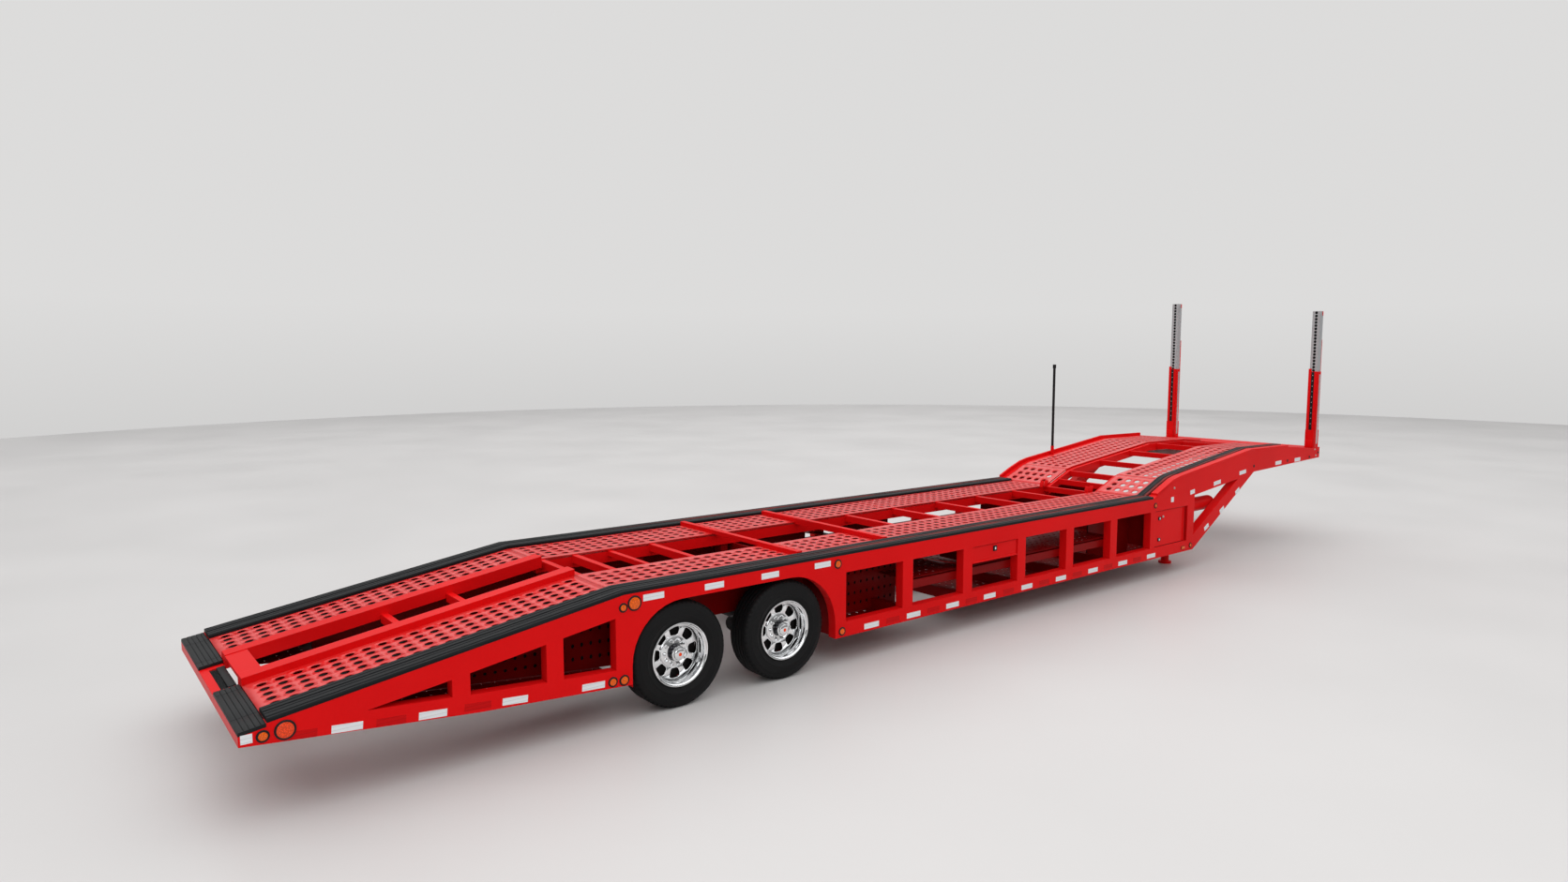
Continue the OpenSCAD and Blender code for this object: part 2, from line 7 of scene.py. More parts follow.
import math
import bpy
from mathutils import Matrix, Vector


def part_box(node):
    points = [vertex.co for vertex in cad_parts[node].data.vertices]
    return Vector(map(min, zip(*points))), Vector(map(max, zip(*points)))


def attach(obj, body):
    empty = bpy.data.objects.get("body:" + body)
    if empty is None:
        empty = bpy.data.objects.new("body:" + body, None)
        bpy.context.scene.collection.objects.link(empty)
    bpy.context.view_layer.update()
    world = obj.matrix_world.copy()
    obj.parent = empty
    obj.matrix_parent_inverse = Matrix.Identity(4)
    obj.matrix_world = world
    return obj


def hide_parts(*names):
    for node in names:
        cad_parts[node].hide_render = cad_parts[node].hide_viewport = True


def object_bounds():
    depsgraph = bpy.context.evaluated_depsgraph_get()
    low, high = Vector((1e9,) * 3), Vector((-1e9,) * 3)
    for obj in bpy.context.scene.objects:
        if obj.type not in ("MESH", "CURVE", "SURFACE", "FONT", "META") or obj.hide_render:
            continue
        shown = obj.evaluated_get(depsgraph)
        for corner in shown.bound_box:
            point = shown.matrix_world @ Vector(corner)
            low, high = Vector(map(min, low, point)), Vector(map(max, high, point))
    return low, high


bl_info = {
    "name": "Car Transporter Trailer",
    "version": (1, 0, 0),
    "blender": (4, 5, 0),
    "location": "View3D > Sidebar > Trailer",
    "description": "Builds the decks, wheels, posts, lamps and finishes of a car transporter",
    "category": "Add Mesh",
}

import bmesh
import bpy
from bpy.props import FloatProperty, FloatVectorProperty, IntProperty, PointerProperty
from mathutils import Matrix, Vector, noise

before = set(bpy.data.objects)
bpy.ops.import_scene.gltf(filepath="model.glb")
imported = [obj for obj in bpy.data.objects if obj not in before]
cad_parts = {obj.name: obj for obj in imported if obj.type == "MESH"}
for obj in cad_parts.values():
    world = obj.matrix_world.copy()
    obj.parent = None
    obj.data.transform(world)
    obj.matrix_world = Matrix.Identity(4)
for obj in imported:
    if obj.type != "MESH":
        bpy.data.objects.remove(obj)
CAD_LOW, CAD_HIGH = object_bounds()

TRAILER = "trailer"
SIDES = {"right": -1, "left": 1}
WHEELS = ("rear_right", "rear_left", "front_right", "front_left")
X_AXIS, Y_AXIS, Z_AXIS = Vector((1, 0, 0)), Vector((0, 1, 0)), Vector((0, 0, 1))

# ---------- places taken from the frame ----------


def along(distance):
    """X of a distance from the rear end."""
    return CAD_LOW.x + distance


def from_rear(x):
    """Distance from the rear end of an X."""
    return x - CAD_LOW.x


LENGTH = CAD_HIGH.x - CAD_LOW.x
RAMP_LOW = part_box("ramp_runways")[0]
DECK_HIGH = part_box("deck_runways")[1]
FRAME_LOW, FRAME_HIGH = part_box("side_frame_right")
PLATE = 0.025
GAP = 0.004
DECK_Z = DECK_HIGH.z
SIDE_Y = -FRAME_LOW.y
SIDE_IN = -FRAME_HIGH.y
STRIP_IN = -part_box("edge_strip_right")[1].y
WAY_IN = min(abs(vert.co.y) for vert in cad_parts["deck_runways"].data.vertices)
NECK_WAY_IN = WAY_IN + 0.020
KNEE = from_rear(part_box("ramp_rails")[1].x)
RAMP_START = from_rear(RAMP_LOW.x)
RAMP_FALL = (DECK_Z - RAMP_LOW.z - PLATE) / (KNEE - RAMP_START)
SLOPE = from_rear(DECK_HIGH.x) + GAP
NECK_END = from_rear(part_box("neck_runways")[1].x)
BELLY_Z = FRAME_LOW.z
BELLY_END = from_rear(FRAME_HIGH.x)
# Distances from the rear end and heights above the flat deck.
NECK_LINE = (
    (SLOPE, 0.0),
    (SLOPE + 0.500, 0.198),
    (SLOPE + 0.655, 0.230),
    (LENGTH - 2.350, 0.470),
    (LENGTH - 1.150, 0.454),
    (LENGTH - 0.300, 0.378),
    (LENGTH, 0.378),
)


def on_line(line, x):
    """Height of a broken line at a distance from the rear end."""
    for (x0, z0), (x1, z1) in zip(line, line[1:]):
        if x <= x1:
            return z0 + (z1 - z0) * (x - x0) / (x1 - x0)
    return line[-1][1]


def deck_height(x):
    """Height of the running surface at a distance from the rear end."""
    if x < KNEE:
        return DECK_Z - (KNEE - x) * RAMP_FALL
    return DECK_Z + on_line(NECK_LINE, max(x, SLOPE))


# ---------- settings ----------


def length(name, description, default):
    """A size that the user can change."""
    return FloatProperty(
        name=name, description=description, default=default, unit="LENGTH", subtype="DISTANCE"
    )


def colour(name, description, default):
    """A colour that the user can change."""
    return FloatVectorProperty(
        name=name, description=description, default=default, subtype="COLOR", size=3, min=0, max=1
    )


class DeckSettings(bpy.types.PropertyGroup):
    """Sizes of the runways' plates and holes"""

    hole: length("Hole", "Diameter of a drain hole in the runways", 0.068)
    pitch: length("Pitch", "Distance between drain holes", 0.120)
    slope_hole: length("Slope hole", "Diameter of a hole in the plates of the slope", 0.070)
    slope_pitch: length("Slope pitch", "Distance between holes in the plates of the slope", 0.120)
    plate: length("Plate", "Thickness of the runway plate", 0.004)
    margin: length("Margin", "Plain border along a runway", 0.050)


class WheelSettings(bpy.types.PropertyGroup):
    """Counts of a wheel's repeated parts"""

    steps: IntProperty(name="Steps", description="Facets around a tyre", default=120, min=24)
    windows: IntProperty(name="Windows", description="Hand holes in a wheel's disc", default=8, min=4)
    nuts: IntProperty(name="Nuts", description="Wheel nuts on a hub", default=10, min=4)


class PaintSettings(bpy.types.PropertyGroup):
    """Colours of the paints, the rubber and the lenses"""

    red: colour("Red", "Gloss paint of the frame", (0.70, 0.005, 0.006))
    deck: colour("Deck red", "Scuffed paint of the runways", (0.66, 0.009, 0.009))
    rubber: colour("Rubber", "Edge strips and wear plates", (0.007, 0.008, 0.009))
    amber: colour("Amber", "Marker lenses", (0.84, 0.12, 0.003))
    lens_red: colour("Lens red", "Tail lenses", (0.85, 0.060, 0.008))
    silver: colour("Silver", "Inner posts", (0.50, 0.51, 0.52))


class StageSettings(bpy.types.PropertyGroup):
    """The studio"""

    floor: colour("Floor", "Studio floor", (0.60, 0.588, 0.583))
    wall: colour("Wall", "Studio wall", (0.66, 0.655, 0.65))
    radius: length("Radius", "Radius of the floor", 34.0)


SETTINGS = {
    "trailer_deck": DeckSettings,
    "trailer_wheels": WheelSettings,
    "trailer_paint": PaintSettings,
    "trailer_stage": StageSettings,
}

# ---------- mesh helpers ----------

TOUCH = 1e-5


def verts_in(geometry):
    """The verts among what an operator gave back."""
    return [item for item in geometry if isinstance(item, bmesh.types.BMVert)]


def border_at(bm, axis, limit, own=None):
    """Open edges that lie at a limit along X (0) or Y (1), among some verts or all."""
    return [
        edge for edge in bm.edges
        if edge.is_boundary
        and all((own is None or v in own) and abs(v.co[axis] - limit) < TOUCH for v in edge.verts)
    ]


def add_block(bm, low, high, bevel=0.0, segments=2, turn=None):
    """A block between two opposite corners, with rounded edges."""
    low, high = map(Vector, zip(*map(sorted, zip(low, high))))
    place = Matrix.Translation((low + high) / 2) @ Matrix.Diagonal((*(high - low), 1))
    made = bmesh.ops.create_cube(bm, size=1, matrix=place)["verts"]
    if turn is not None:
        bmesh.ops.transform(bm, matrix=turn, verts=made)
    if bevel:
        edges = list({edge for vert in made for edge in vert.link_edges})
        bmesh.ops.bevel(
            bm, geom=edges, offset=bevel, offset_type="OFFSET", segments=segments,
            profile=0.5, affect="EDGES", material=-1, clamp_overlap=True,
        )


def add_rod(bm, start, end, radius, segments=16, end_radius=None):
    """A round bar or a cone between two points."""
    start, end = Vector(start), Vector(end)
    run = end - start
    place = Matrix.Translation((start + end) / 2) @ run.to_track_quat("Z", "Y").to_matrix().to_4x4()
    bmesh.ops.create_cone(
        bm, cap_ends=True, cap_tris=False, segments=segments, radius1=radius,
        radius2=radius if end_radius is None else end_radius, depth=run.length, matrix=place,
    )


def add_turned(bm, outline, centre, axis, steps, closed=False):
    """A turned shape. The outline holds radii and distances along the axis."""
    out = Z_AXIS if abs(axis.z) < 0.5 else X_AXIS
    verts = [bm.verts.new(centre + out * radius + axis * rise) for radius, rise in outline]
    edges = [bm.edges.new(pair) for pair in zip(verts, verts[1:])]
    if closed:
        edges.append(bm.edges.new((verts[-1], verts[0])))
    before = set(bm.verts) - set(verts)
    bmesh.ops.spin(
        bm, geom=verts + edges, cent=centre, axis=axis, dvec=(0, 0, 0), angle=math.tau,
        steps=steps, use_merge=True, use_duplicate=False,
    )
    made = [vert for vert in bm.verts if vert not in before]
    bmesh.ops.remove_doubles(bm, verts=made, dist=1e-6)


def add_swept(bm, outline, path):
    """A section in Y and Z, carried along points in X and Z, with closed ends."""
    x, z = path[0]
    verts = [bm.verts.new((x, y, z + up)) for y, up in outline]
    loop = [bm.edges.new((verts[i - 1], verts[i])) for i in range(len(verts))]
    bm.faces.new(verts)
    for (x0, z0), (x1, z1) in zip(path, path[1:]):
        made = bmesh.ops.extrude_edge_only(bm, edges=loop)["geom"]
        bmesh.ops.translate(bm, vec=(x1 - x0, 0, z1 - z0), verts=verts_in(made))
        loop = [
            item for item in made
            if isinstance(item, bmesh.types.BMEdge)
            and all(vert in made for vert in item.verts)
            and abs(item.verts[0].co.x - item.verts[1].co.x) < 1e-6
        ]
    bmesh.ops.edgeloop_fill(bm, edges=loop)


def add_cell(bm, size_x, size_y, hole_x, hole_y, sides=12):
    """A rectangle of plate with one hole, about the origin, and what it is made of."""
    before = set(bm.verts) | set(bm.edges) | set(bm.faces)
    turn = Matrix.Rotation(math.pi / 4, 4, "Z")
    rim = bmesh.ops.create_circle(
        bm, cap_ends=False, segments=4, radius=math.sqrt(0.5), matrix=turn
    )["verts"]
    bmesh.ops.scale(bm, vec=(size_x, size_y, 1), verts=rim)
    outer = [edge for edge in bm.edges if edge not in before]
    bmesh.ops.subdivide_edges(bm, edges=outer, cuts=sides // 4 - 1, use_grid_fill=False)
    outer = [edge for edge in bm.edges if edge not in before]
    ring = bmesh.ops.create_circle(
        bm, cap_ends=False, segments=sides, radius=0.5, matrix=turn
    )["verts"]
    bmesh.ops.scale(bm, vec=(hole_x, hole_y, 1), verts=ring)
    inner = [edge for edge in bm.edges if edge not in before and edge not in set(outer)]
    bmesh.ops.bridge_loops(bm, edges=outer + inner)
    return [item for item in (*bm.verts, *bm.edges, *bm.faces) if item not in before]


def repeat(bm, geometry, count, step):
    """Copies of some geometry, each a step on from the last, and all of it."""
    everything = list(geometry)
    for i in range(1, count):
        copy = bmesh.ops.duplicate(bm, geom=geometry)["geom"]
        bmesh.ops.translate(bm, vec=Vector(step) * i, verts=verts_in(copy))
        everything += copy
    return everything


def widen(bm, axis, limit, verts):
    """Carries the border of a sheet out to a limit along X (0) or Y (1)."""
    pick = max if limit > sum(v.co[axis] for v in verts) / len(verts) else min
    edges = border_at(bm, axis, pick(v.co[axis] for v in verts), set(verts))
    made = bmesh.ops.extrude_edge_only(bm, edges=edges)["geom"]
    for vert in verts_in(made):
        vert.co[axis] = limit


def face_towards(bm, way, judged=None):
    """Evens out a sheet's faces and turns all of them, so that the judged ones face a way."""
    bmesh.ops.recalc_face_normals(bm, faces=list(bm.faces))
    judged = bm.faces if judged is None else judged
    if sum(face.normal.dot(way) * face.calc_area() for face in judged) < 0:
        bmesh.ops.reverse_faces(bm, faces=list(bm.faces))


def mirror_over(bm):
    """Adds the left side's copy of everything on the right."""
    copy = bmesh.ops.duplicate(bm, geom=list(bm.verts) + list(bm.edges) + list(bm.faces))["geom"]
    bmesh.ops.scale(bm, vec=(1, -1, 1), verts=verts_in(copy))
    faces = [item for item in copy if isinstance(item, bmesh.types.BMFace)]
    bmesh.ops.reverse_faces(bm, faces=faces)


def add_sheet(bm, low, high, hole, pitch, margin, surface, sides=12):
    """A plate between two corners in plan, pierced in rows and laid on a surface."""
    start = set(bm.verts)
    (x0, y0), (x1, y1) = low, high
    rows = max(1, int((x1 - x0 - 2 * margin) / pitch))
    columns = max(1, int((y1 - y0 - 2 * margin) / pitch + 0.4))
    step_x = (x1 - x0 - 2 * margin) / rows
    step_y = (y1 - y0 - 2 * margin) / columns
    cell = add_cell(bm, step_x, step_y, hole, hole, sides)
    first = (x0 + margin + step_x / 2, y0 + margin + step_y / 2, 0)
    bmesh.ops.translate(bm, vec=first, verts=verts_in(cell))
    row = repeat(bm, cell, columns, (0, step_y, 0))
    repeat(bm, row, rows, (step_x, 0, 0))
    made = [vert for vert in bm.verts if vert not in start]
    bmesh.ops.remove_doubles(bm, verts=made, dist=TOUCH)
    for axis, limit in ((1, y0), (1, y1), (0, x0), (0, x1)):
        widen(bm, axis, limit, [vert for vert in bm.verts if vert not in start])
    for vert in bm.verts:
        if vert not in start:
            vert.co.z = surface(vert.co.x, vert.co.y)


def pierced_plate(start, end, inner, hole, pitch, margin, flange):
    """Runway plates of both sides, with rows of holes and folded edges."""
    bm = bmesh.new()
    add_sheet(
        bm, (start, -SIDE_IN), (end, -inner), hole, pitch, margin, lambda x, y: deck_height(x)
    )
    for limit in (-SIDE_IN, -inner):
        made = bmesh.ops.extrude_edge_only(bm, edges=border_at(bm, 1, limit))["geom"]
        bmesh.ops.translate(bm, vec=(0, 0, -flange), verts=verts_in(made))
    bmesh.ops.translate(bm, vec=(along(0), 0, 0), verts=list(bm.verts))
    face_towards(bm, Z_AXIS)
    mirror_over(bm)
    return bm


def gathered(parts):
    """One bmesh from several."""
    whole = bmesh.new()
    for bm in parts:
        mesh = bpy.data.meshes.new("part")
        bm.to_mesh(mesh)
        bm.free()
        whole.from_mesh(mesh)
        bpy.data.meshes.remove(mesh)
    return whole


def new_piece(name, bm, body, finishes, replaces=(), smooth=35, recalculate=True):
    """Makes the object, which rides on a body and may stand for CAD nodes."""
    if recalculate:
        bmesh.ops.recalc_face_normals(bm, faces=list(bm.faces))
    mesh = bpy.data.meshes.new(name)
    bm.to_mesh(mesh)
    bm.free()
    for word in finishes if isinstance(finishes, list) else [finishes]:
        mesh.materials.append(finish(word))
    if smooth:
        mesh.shade_smooth()
        mesh.set_sharp_from_angle(angle=math.radians(smooth))
    piece = bpy.data.objects.new(name, mesh)
    bpy.context.scene.collection.objects.link(piece)
    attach(piece, body)
    if replaces:
        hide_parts(*replaces)
    return piece


def thicken(piece, thickness, rim=0):
    """Gives a sheet its wall, behind the side that its faces show."""
    wall = piece.modifiers.new("Wall", "SOLIDIFY")
    wall.thickness = thickness
    wall.offset = -1
    wall.material_offset = rim


# ---------- material helpers ----------


def set_inputs(node, values):
    """Gives a node's inputs their links or their constants."""
    for name, value in values.items():
        socket = node.inputs[name]
        if isinstance(value, bpy.types.NodeSocket):
            node.id_data.links.new(value, socket)
        else:
            socket.default_value = value


def add_node(tree, kind, values=None, **settings):
    """A node with some of its settings and inputs given."""
    node = tree.nodes.new(kind)
    for name, value in settings.items():
        setattr(node, name, value)
    set_inputs(node, values or {})
    return node


def maths(tree, operation, *values, clamp=False):
    """The result of a Math node."""
    inputs = dict(enumerate(values))
    return add_node(tree, "ShaderNodeMath", inputs, operation=operation, use_clamp=clamp).outputs[0]


def scaled(tree, rgb, factor):
    """A colour made lighter or darker by a factor."""
    inputs = {0: rgb, "Scale": factor}
    return add_node(tree, "ShaderNodeVectorMath", inputs, operation="SCALE").outputs[0]


def mixed(tree, factor, first, second):
    """A colour between two, by a mask."""
    inputs = {0: factor, 6: first, 7: second}
    return add_node(tree, "ShaderNodeMix", inputs, data_type="RGBA").outputs[2]


def ranged(tree, value, low, high, to_low=0.0, to_high=1.0):
    """A value moved from one range to another."""
    inputs = {"Value": value, "From Min": low, "From Max": high, "To Min": to_low, "To Max": to_high}
    return add_node(tree, "ShaderNodeMapRange", inputs).outputs[0]


def object_place(tree):
    """The point on the piece, in metres."""
    return add_node(tree, "ShaderNodeTexCoord").outputs["Object"]


def axes_of(tree, place):
    """X, Y and Z of a point."""
    return add_node(tree, "ShaderNodeSeparateXYZ", {"Vector": place}).outputs


def opaque(rgb, factor=1.0):
    """A colour times a factor, with full alpha."""
    return (*(factor * part for part in rgb), 1.0)


def new_group(name, inputs, outputs):
    """An empty node group with named sockets."""
    group = bpy.data.node_groups.new(name, "ShaderNodeTree")
    kinds = {"float": "NodeSocketFloat", "colour": "NodeSocketColor", "vector": "NodeSocketVector"}
    for label, kind, default in inputs:
        socket = group.interface.new_socket(label, in_out="INPUT", socket_type=kinds[kind])
        socket.default_value = default
    for label, kind in outputs:
        group.interface.new_socket(label, in_out="OUTPUT", socket_type=kinds[kind])
    given = group.nodes.new("NodeGroupInput").outputs
    return group, given, group.nodes.new("NodeGroupOutput")


def grain_group():
    """Fine mottle at a scale: a shade about one and a height."""
    group, given, result = new_group(
        "Fine grain",
        (("Scale", "float", 60.0), ("Contrast", "float", 0.2), ("Stretch", "vector", (1, 1, 1))),
        (("Shade", "float"), ("Height", "float")),
    )
    moved = add_node(
        group, "ShaderNodeMapping", {"Vector": object_place(group), "Scale": given["Stretch"]}
    ).outputs[0]
    fine = add_node(
        group, "ShaderNodeTexNoise", {"Vector": moved, "Scale": given["Scale"], "Detail": 5.0}
    ).outputs["Fac"]
    half = maths(group, "SUBTRACT", fine, 0.5)
    spread = maths(group, "MULTIPLY", half, given["Contrast"])
    set_inputs(result, {"Shade": maths(group, "ADD", spread, 1.0), "Height": fine})
    return group


def dust_group():
    """Settled dust: more of it low down and in soft patches."""
    group, given, result = new_group(
        "Settled dust",
        (
            ("Colour", "colour", (0.5, 0.5, 0.5, 1)),
            ("Dust", "colour", (0.30, 0.27, 0.25, 1)),
            ("Amount", "float", 0.15),
            ("Roughness", "float", 0.3),
            ("Height limit", "float", 0.5),
        ),
        (("Colour", "colour"), ("Roughness", "float"), ("Mask", "float")),
    )
    place = object_place(group)
    low = ranged(group, axes_of(group, place)["Z"], 0.0, given["Height limit"], 1.0, 0.25)
    patches = add_node(
        group, "ShaderNodeTexNoise", {"Vector": place, "Scale": 2.6, "Detail": 8.0, "Roughness": 0.62}
    ).outputs["Fac"]
    both = maths(group, "MULTIPLY", low, ranged(group, patches, 0.42, 0.72))
    mask = maths(group, "MULTIPLY", both, given["Amount"], clamp=True)
    rougher = maths(group, "MULTIPLY", mask, 0.45)
    set_inputs(result, {
        "Colour": mixed(group, mask, given["Colour"], given["Dust"]),
        "Roughness": maths(group, "ADD", rougher, given["Roughness"], clamp=True),
        "Mask": mask,
    })
    return group


GROUP_MAKERS = {"grain": grain_group, "dust": dust_group}
GROUPS = {}
MATERIALS = {}


def effect(tree, name, **values):
    """One of the shared effects, placed in a tree."""
    if name not in GROUPS:
        GROUPS[name] = GROUP_MAKERS[name]()
    inputs = {label.replace("_", " "): value for label, value in values.items()}
    return add_node(tree, "ShaderNodeGroup", inputs, node_tree=GROUPS[name]).outputs


def new_material(name, **constants):
    """A material with a lone Principled shader, some of whose inputs are set."""
    material = bpy.data.materials.new(name)
    material.use_nodes = True
    shader = material.node_tree.nodes["Principled BSDF"]
    labels = {
        "specular": "Specular IOR Level", "roughness": "Roughness", "metallic": "Metallic",
        "coat": "Coat Weight", "coat_roughness": "Coat Roughness", "emission": "Emission Strength",
    }
    set_inputs(shader, {labels[word]: value for word, value in constants.items()})
    return material, material.node_tree, shader


def bumped(tree, shader, height, strength, distance=0.001, rounded=0.0):
    """Leads a height, over edges rounded by a radius, to the shader's normal."""
    inputs = {"Height": height, "Strength": strength, "Distance": distance}
    if rounded:
        inputs["Normal"] = add_node(
            tree, "ShaderNodeBevel", {"Radius": rounded}, samples=4
        ).outputs[0]
    set_inputs(shader, {"Normal": add_node(tree, "ShaderNodeBump", inputs).outputs[0]})


def dusted(tree, shader, tone, amount, roughness, limit, **more):
    """Settles dust on a colour and leads both its colour and its roughness to the shader."""
    dusty = effect(
        tree, "dust", Colour=tone, Amount=amount, Roughness=roughness, Height_limit=limit, **more
    )
    set_inputs(shader, {"Base Color": dusty["Colour"], "Roughness": dusty["Roughness"]})


def gloss_red(name, rgb, roughness, dust, coat, specular):
    """Sprayed gloss paint: orange peel, slow fade and a little dust."""
    material, tree, shader = new_material(name, specular=specular, coat=coat, coat_roughness=0.08)
    peel = effect(tree, "grain", Scale=70.0, Contrast=0.10)
    fade = effect(tree, "grain", Scale=0.9, Contrast=0.30)
    tone = scaled(tree, rgb, maths(tree, "MULTIPLY", peel["Shade"], fade["Shade"]))
    dusted(tree, shader, tone, dust, roughness, 0.7)
    bumped(tree, shader, peel["Height"], 0.05, rounded=0.004)
    return material


def paint_frame():
    """Gloss paint of everything that is seen from outside."""
    return gloss_red("Frame red", bpy.context.scene.trailer_paint.red, 0.34, 0.010, 0.02, 0.05)


def paint_inside_shade():
    """The same paint darkened to three tenths as painted shade for the belly, where it is much duller."""
    rgb = [0.30 * part for part in bpy.context.scene.trailer_paint.red]
    return gloss_red("Inner red in painted shade", rgb, 0.40, 0.015, 0.03, 0.08)


def paint_deck():
    """Runway paint, polished and scuffed by tyres."""
    material, tree, shader = new_material("Deck red", specular=0.30, coat=0.22, coat_roughness=0.22)
    rgb = bpy.context.scene.trailer_paint.deck
    scuff = effect(tree, "grain", Scale=9.0, Contrast=0.5, Stretch=(0.25, 1.6, 1.0))
    peel = effect(tree, "grain", Scale=160.0, Contrast=0.16)
    worn = ranged(tree, scuff["Height"], 0.50, 0.74)
    tone = mixed(tree, worn, opaque(rgb), opaque([min(1, 1.12 * rgb[0]), 0.060, 0.055]))
    dusted(tree, shader, tone, 0.12, 0.30, 9.0, Dust=(0.42, 0.20, 0.19, 1))
    bumped(tree, shader, peel["Height"], 0.10)
    return material


def black_rubber():
    """Rubber strip: lengthwise streaks, with the red under it rubbed through along the middle."""
    material, tree, shader = new_material("Edge rubber", specular=0.12)
    rgb = bpy.context.scene.trailer_paint.rubber
    streak = effect(tree, "grain", Scale=26.0, Contrast=0.7, Stretch=(0.05, 3.0, 1.0))
    grit = effect(tree, "grain", Scale=220.0, Contrast=0.5)
    grey = mixed(tree, ranged(tree, streak["Height"], 0.50, 0.70), opaque(rgb), (0.014, 0.015, 0.017, 1))
    axes = axes_of(tree, object_place(tree))
    middle = 0.5 * (SIDE_Y + STRIP_IN) + 0.012
    off_middle = maths(tree, "SUBTRACT", maths(tree, "ABSOLUTE", axes["Y"]), middle)
    near = ranged(tree, maths(tree, "ABSOLUTE", off_middle), 0.018, 0.055, 1.0, 0.0)
    onward = ranged(tree, axes["X"], along(KNEE) + 1.0, along(KNEE) + 3.2)
    rubbed = effect(tree, "grain", Scale=14.0, Contrast=1.0, Stretch=(0.12, 2.0, 1.0))
    patch = ranged(tree, rubbed["Height"], 0.40, 0.56)
    mask = maths(tree, "MULTIPLY", maths(tree, "MULTIPLY", near, onward), patch, clamp=True)
    set_inputs(shader, {
        "Base Color": mixed(tree, mask, grey, (0.20, 0.016, 0.013, 1)),
        "Roughness": ranged(tree, streak["Height"], 0.3, 0.7, 0.42, 0.62),
    })
    bumped(tree, shader, maths(tree, "ADD", streak["Height"], grit["Height"]), 0.35, 0.002)
    return material


def plain_rubber(name, rgb, roughness, scale, strength, dust=0.06):
    """Moulded rubber, plastic or black steel with a fine grain."""
    material, tree, shader = new_material(name, specular=0.15)
    grit = effect(tree, "grain", Scale=scale, Contrast=0.5)
    dusted(tree, shader, scaled(tree, rgb, grit["Shade"]), dust, roughness, 0.4)
    bumped(tree, shader, grit["Height"], strength)
    return material


def bare_metal(name, rgb, roughness, stretch, strength, dust=0.03, metallic=1.0, painted_shade_reach=0.0):
    """Metal with drawn or polished streaks, darkened by painted shade in its hollows where a reach is
    given.
    """
    material, tree, shader = new_material(name, metallic=metallic)
    streak = effect(tree, "grain", Scale=24.0, Contrast=0.30, Stretch=stretch)
    shade = streak["Shade"]
    if painted_shade_reach:
        # Painted shade: ambient occlusion darkens the colour in hollows.
        painted_hollow_shade = add_node(tree, "ShaderNodeAmbientOcclusion", {"Distance": painted_shade_reach}, samples=8)
        shade = maths(tree, "MULTIPLY", shade, ranged(tree, painted_hollow_shade.outputs["AO"], 0.20, 0.60, 0.04, 1.0))
    dusted(tree, shader, scaled(tree, rgb, shade), dust, roughness, 0.8)
    bumped(tree, shader, streak["Height"], strength)
    return material


def lens(name, rgb):
    """A moulded lens with prisms inside and a clear face."""
    material, tree, shader = new_material(
        name, emission=0.22, roughness=0.22, specular=0.20, coat=0.25, coat_roughness=0.03
    )
    inputs = {"Vector": object_place(tree), "Scale": 110.0}
    prisms = add_node(tree, "ShaderNodeTexVoronoi", inputs).outputs["Distance"]
    tone = scaled(tree, rgb, ranged(tree, prisms, 0.0, 0.6, 1.15, 0.6))
    set_inputs(shader, {"Base Color": tone, "Emission Color": tone})
    bumped(tree, shader, prisms, 0.2)
    return material


def reflective_tape(name, rgb, roughness, gloss):
    """Retroreflective tape: a fine honeycomb and level rules under a clear face."""
    material, tree, shader = new_material(name, roughness=roughness, specular=gloss, coat=0.4 * gloss)
    place = object_place(tree)
    cells = add_node(
        tree, "ShaderNodeTexVoronoi", {"Vector": place, "Scale": 170.0}, feature="DISTANCE_TO_EDGE"
    ).outputs["Distance"]
    rules = add_node(
        tree, "ShaderNodeTexWave", {"Vector": place, "Scale": 11.5, "Distortion": 0.0},
        bands_direction="Z",
    ).outputs["Fac"]
    tone = mixed(tree, ranged(tree, cells, 0.0, 0.08), opaque(rgb, 0.88), opaque(rgb))
    tone = mixed(tree, ranged(tree, rules, 0.02, 0.14), opaque(rgb, 0.80), tone)
    set_inputs(shader, {"Base Color": tone})
    bumped(tree, shader, cells, 0.1, 0.0005)
    return material


def floor_finish():
    """Sealed studio floor with a soft sheen."""
    material, tree, shader = new_material("Studio floor", specular=0.20)
    cloud = effect(tree, "grain", Scale=0.35, Contrast=0.10)
    set_inputs(shader, {
        "Base Color": scaled(tree, bpy.context.scene.trailer_stage.floor, cloud["Shade"]),
        "Roughness": ranged(tree, cloud["Height"], 0.3, 0.7, 0.34, 0.42),
    })
    return material


def wall_finish():
    """Studio wall that glows with its own pale tone, made a little lighter upwards as painted light."""
    material, tree, shader = new_material("Studio wall", specular=0.0, emission=1.0)
    # Painted light: the wall's glow grows brighter upwards.
    rise = ranged(tree, axes_of(tree, object_place(tree))["Z"], 0.0, 5.0, 0.97, 1.09)
    set_inputs(shader, {
        "Base Color": (0, 0, 0, 1),
        "Emission Color": scaled(tree, bpy.context.scene.trailer_stage.wall, rise),
    })
    return material


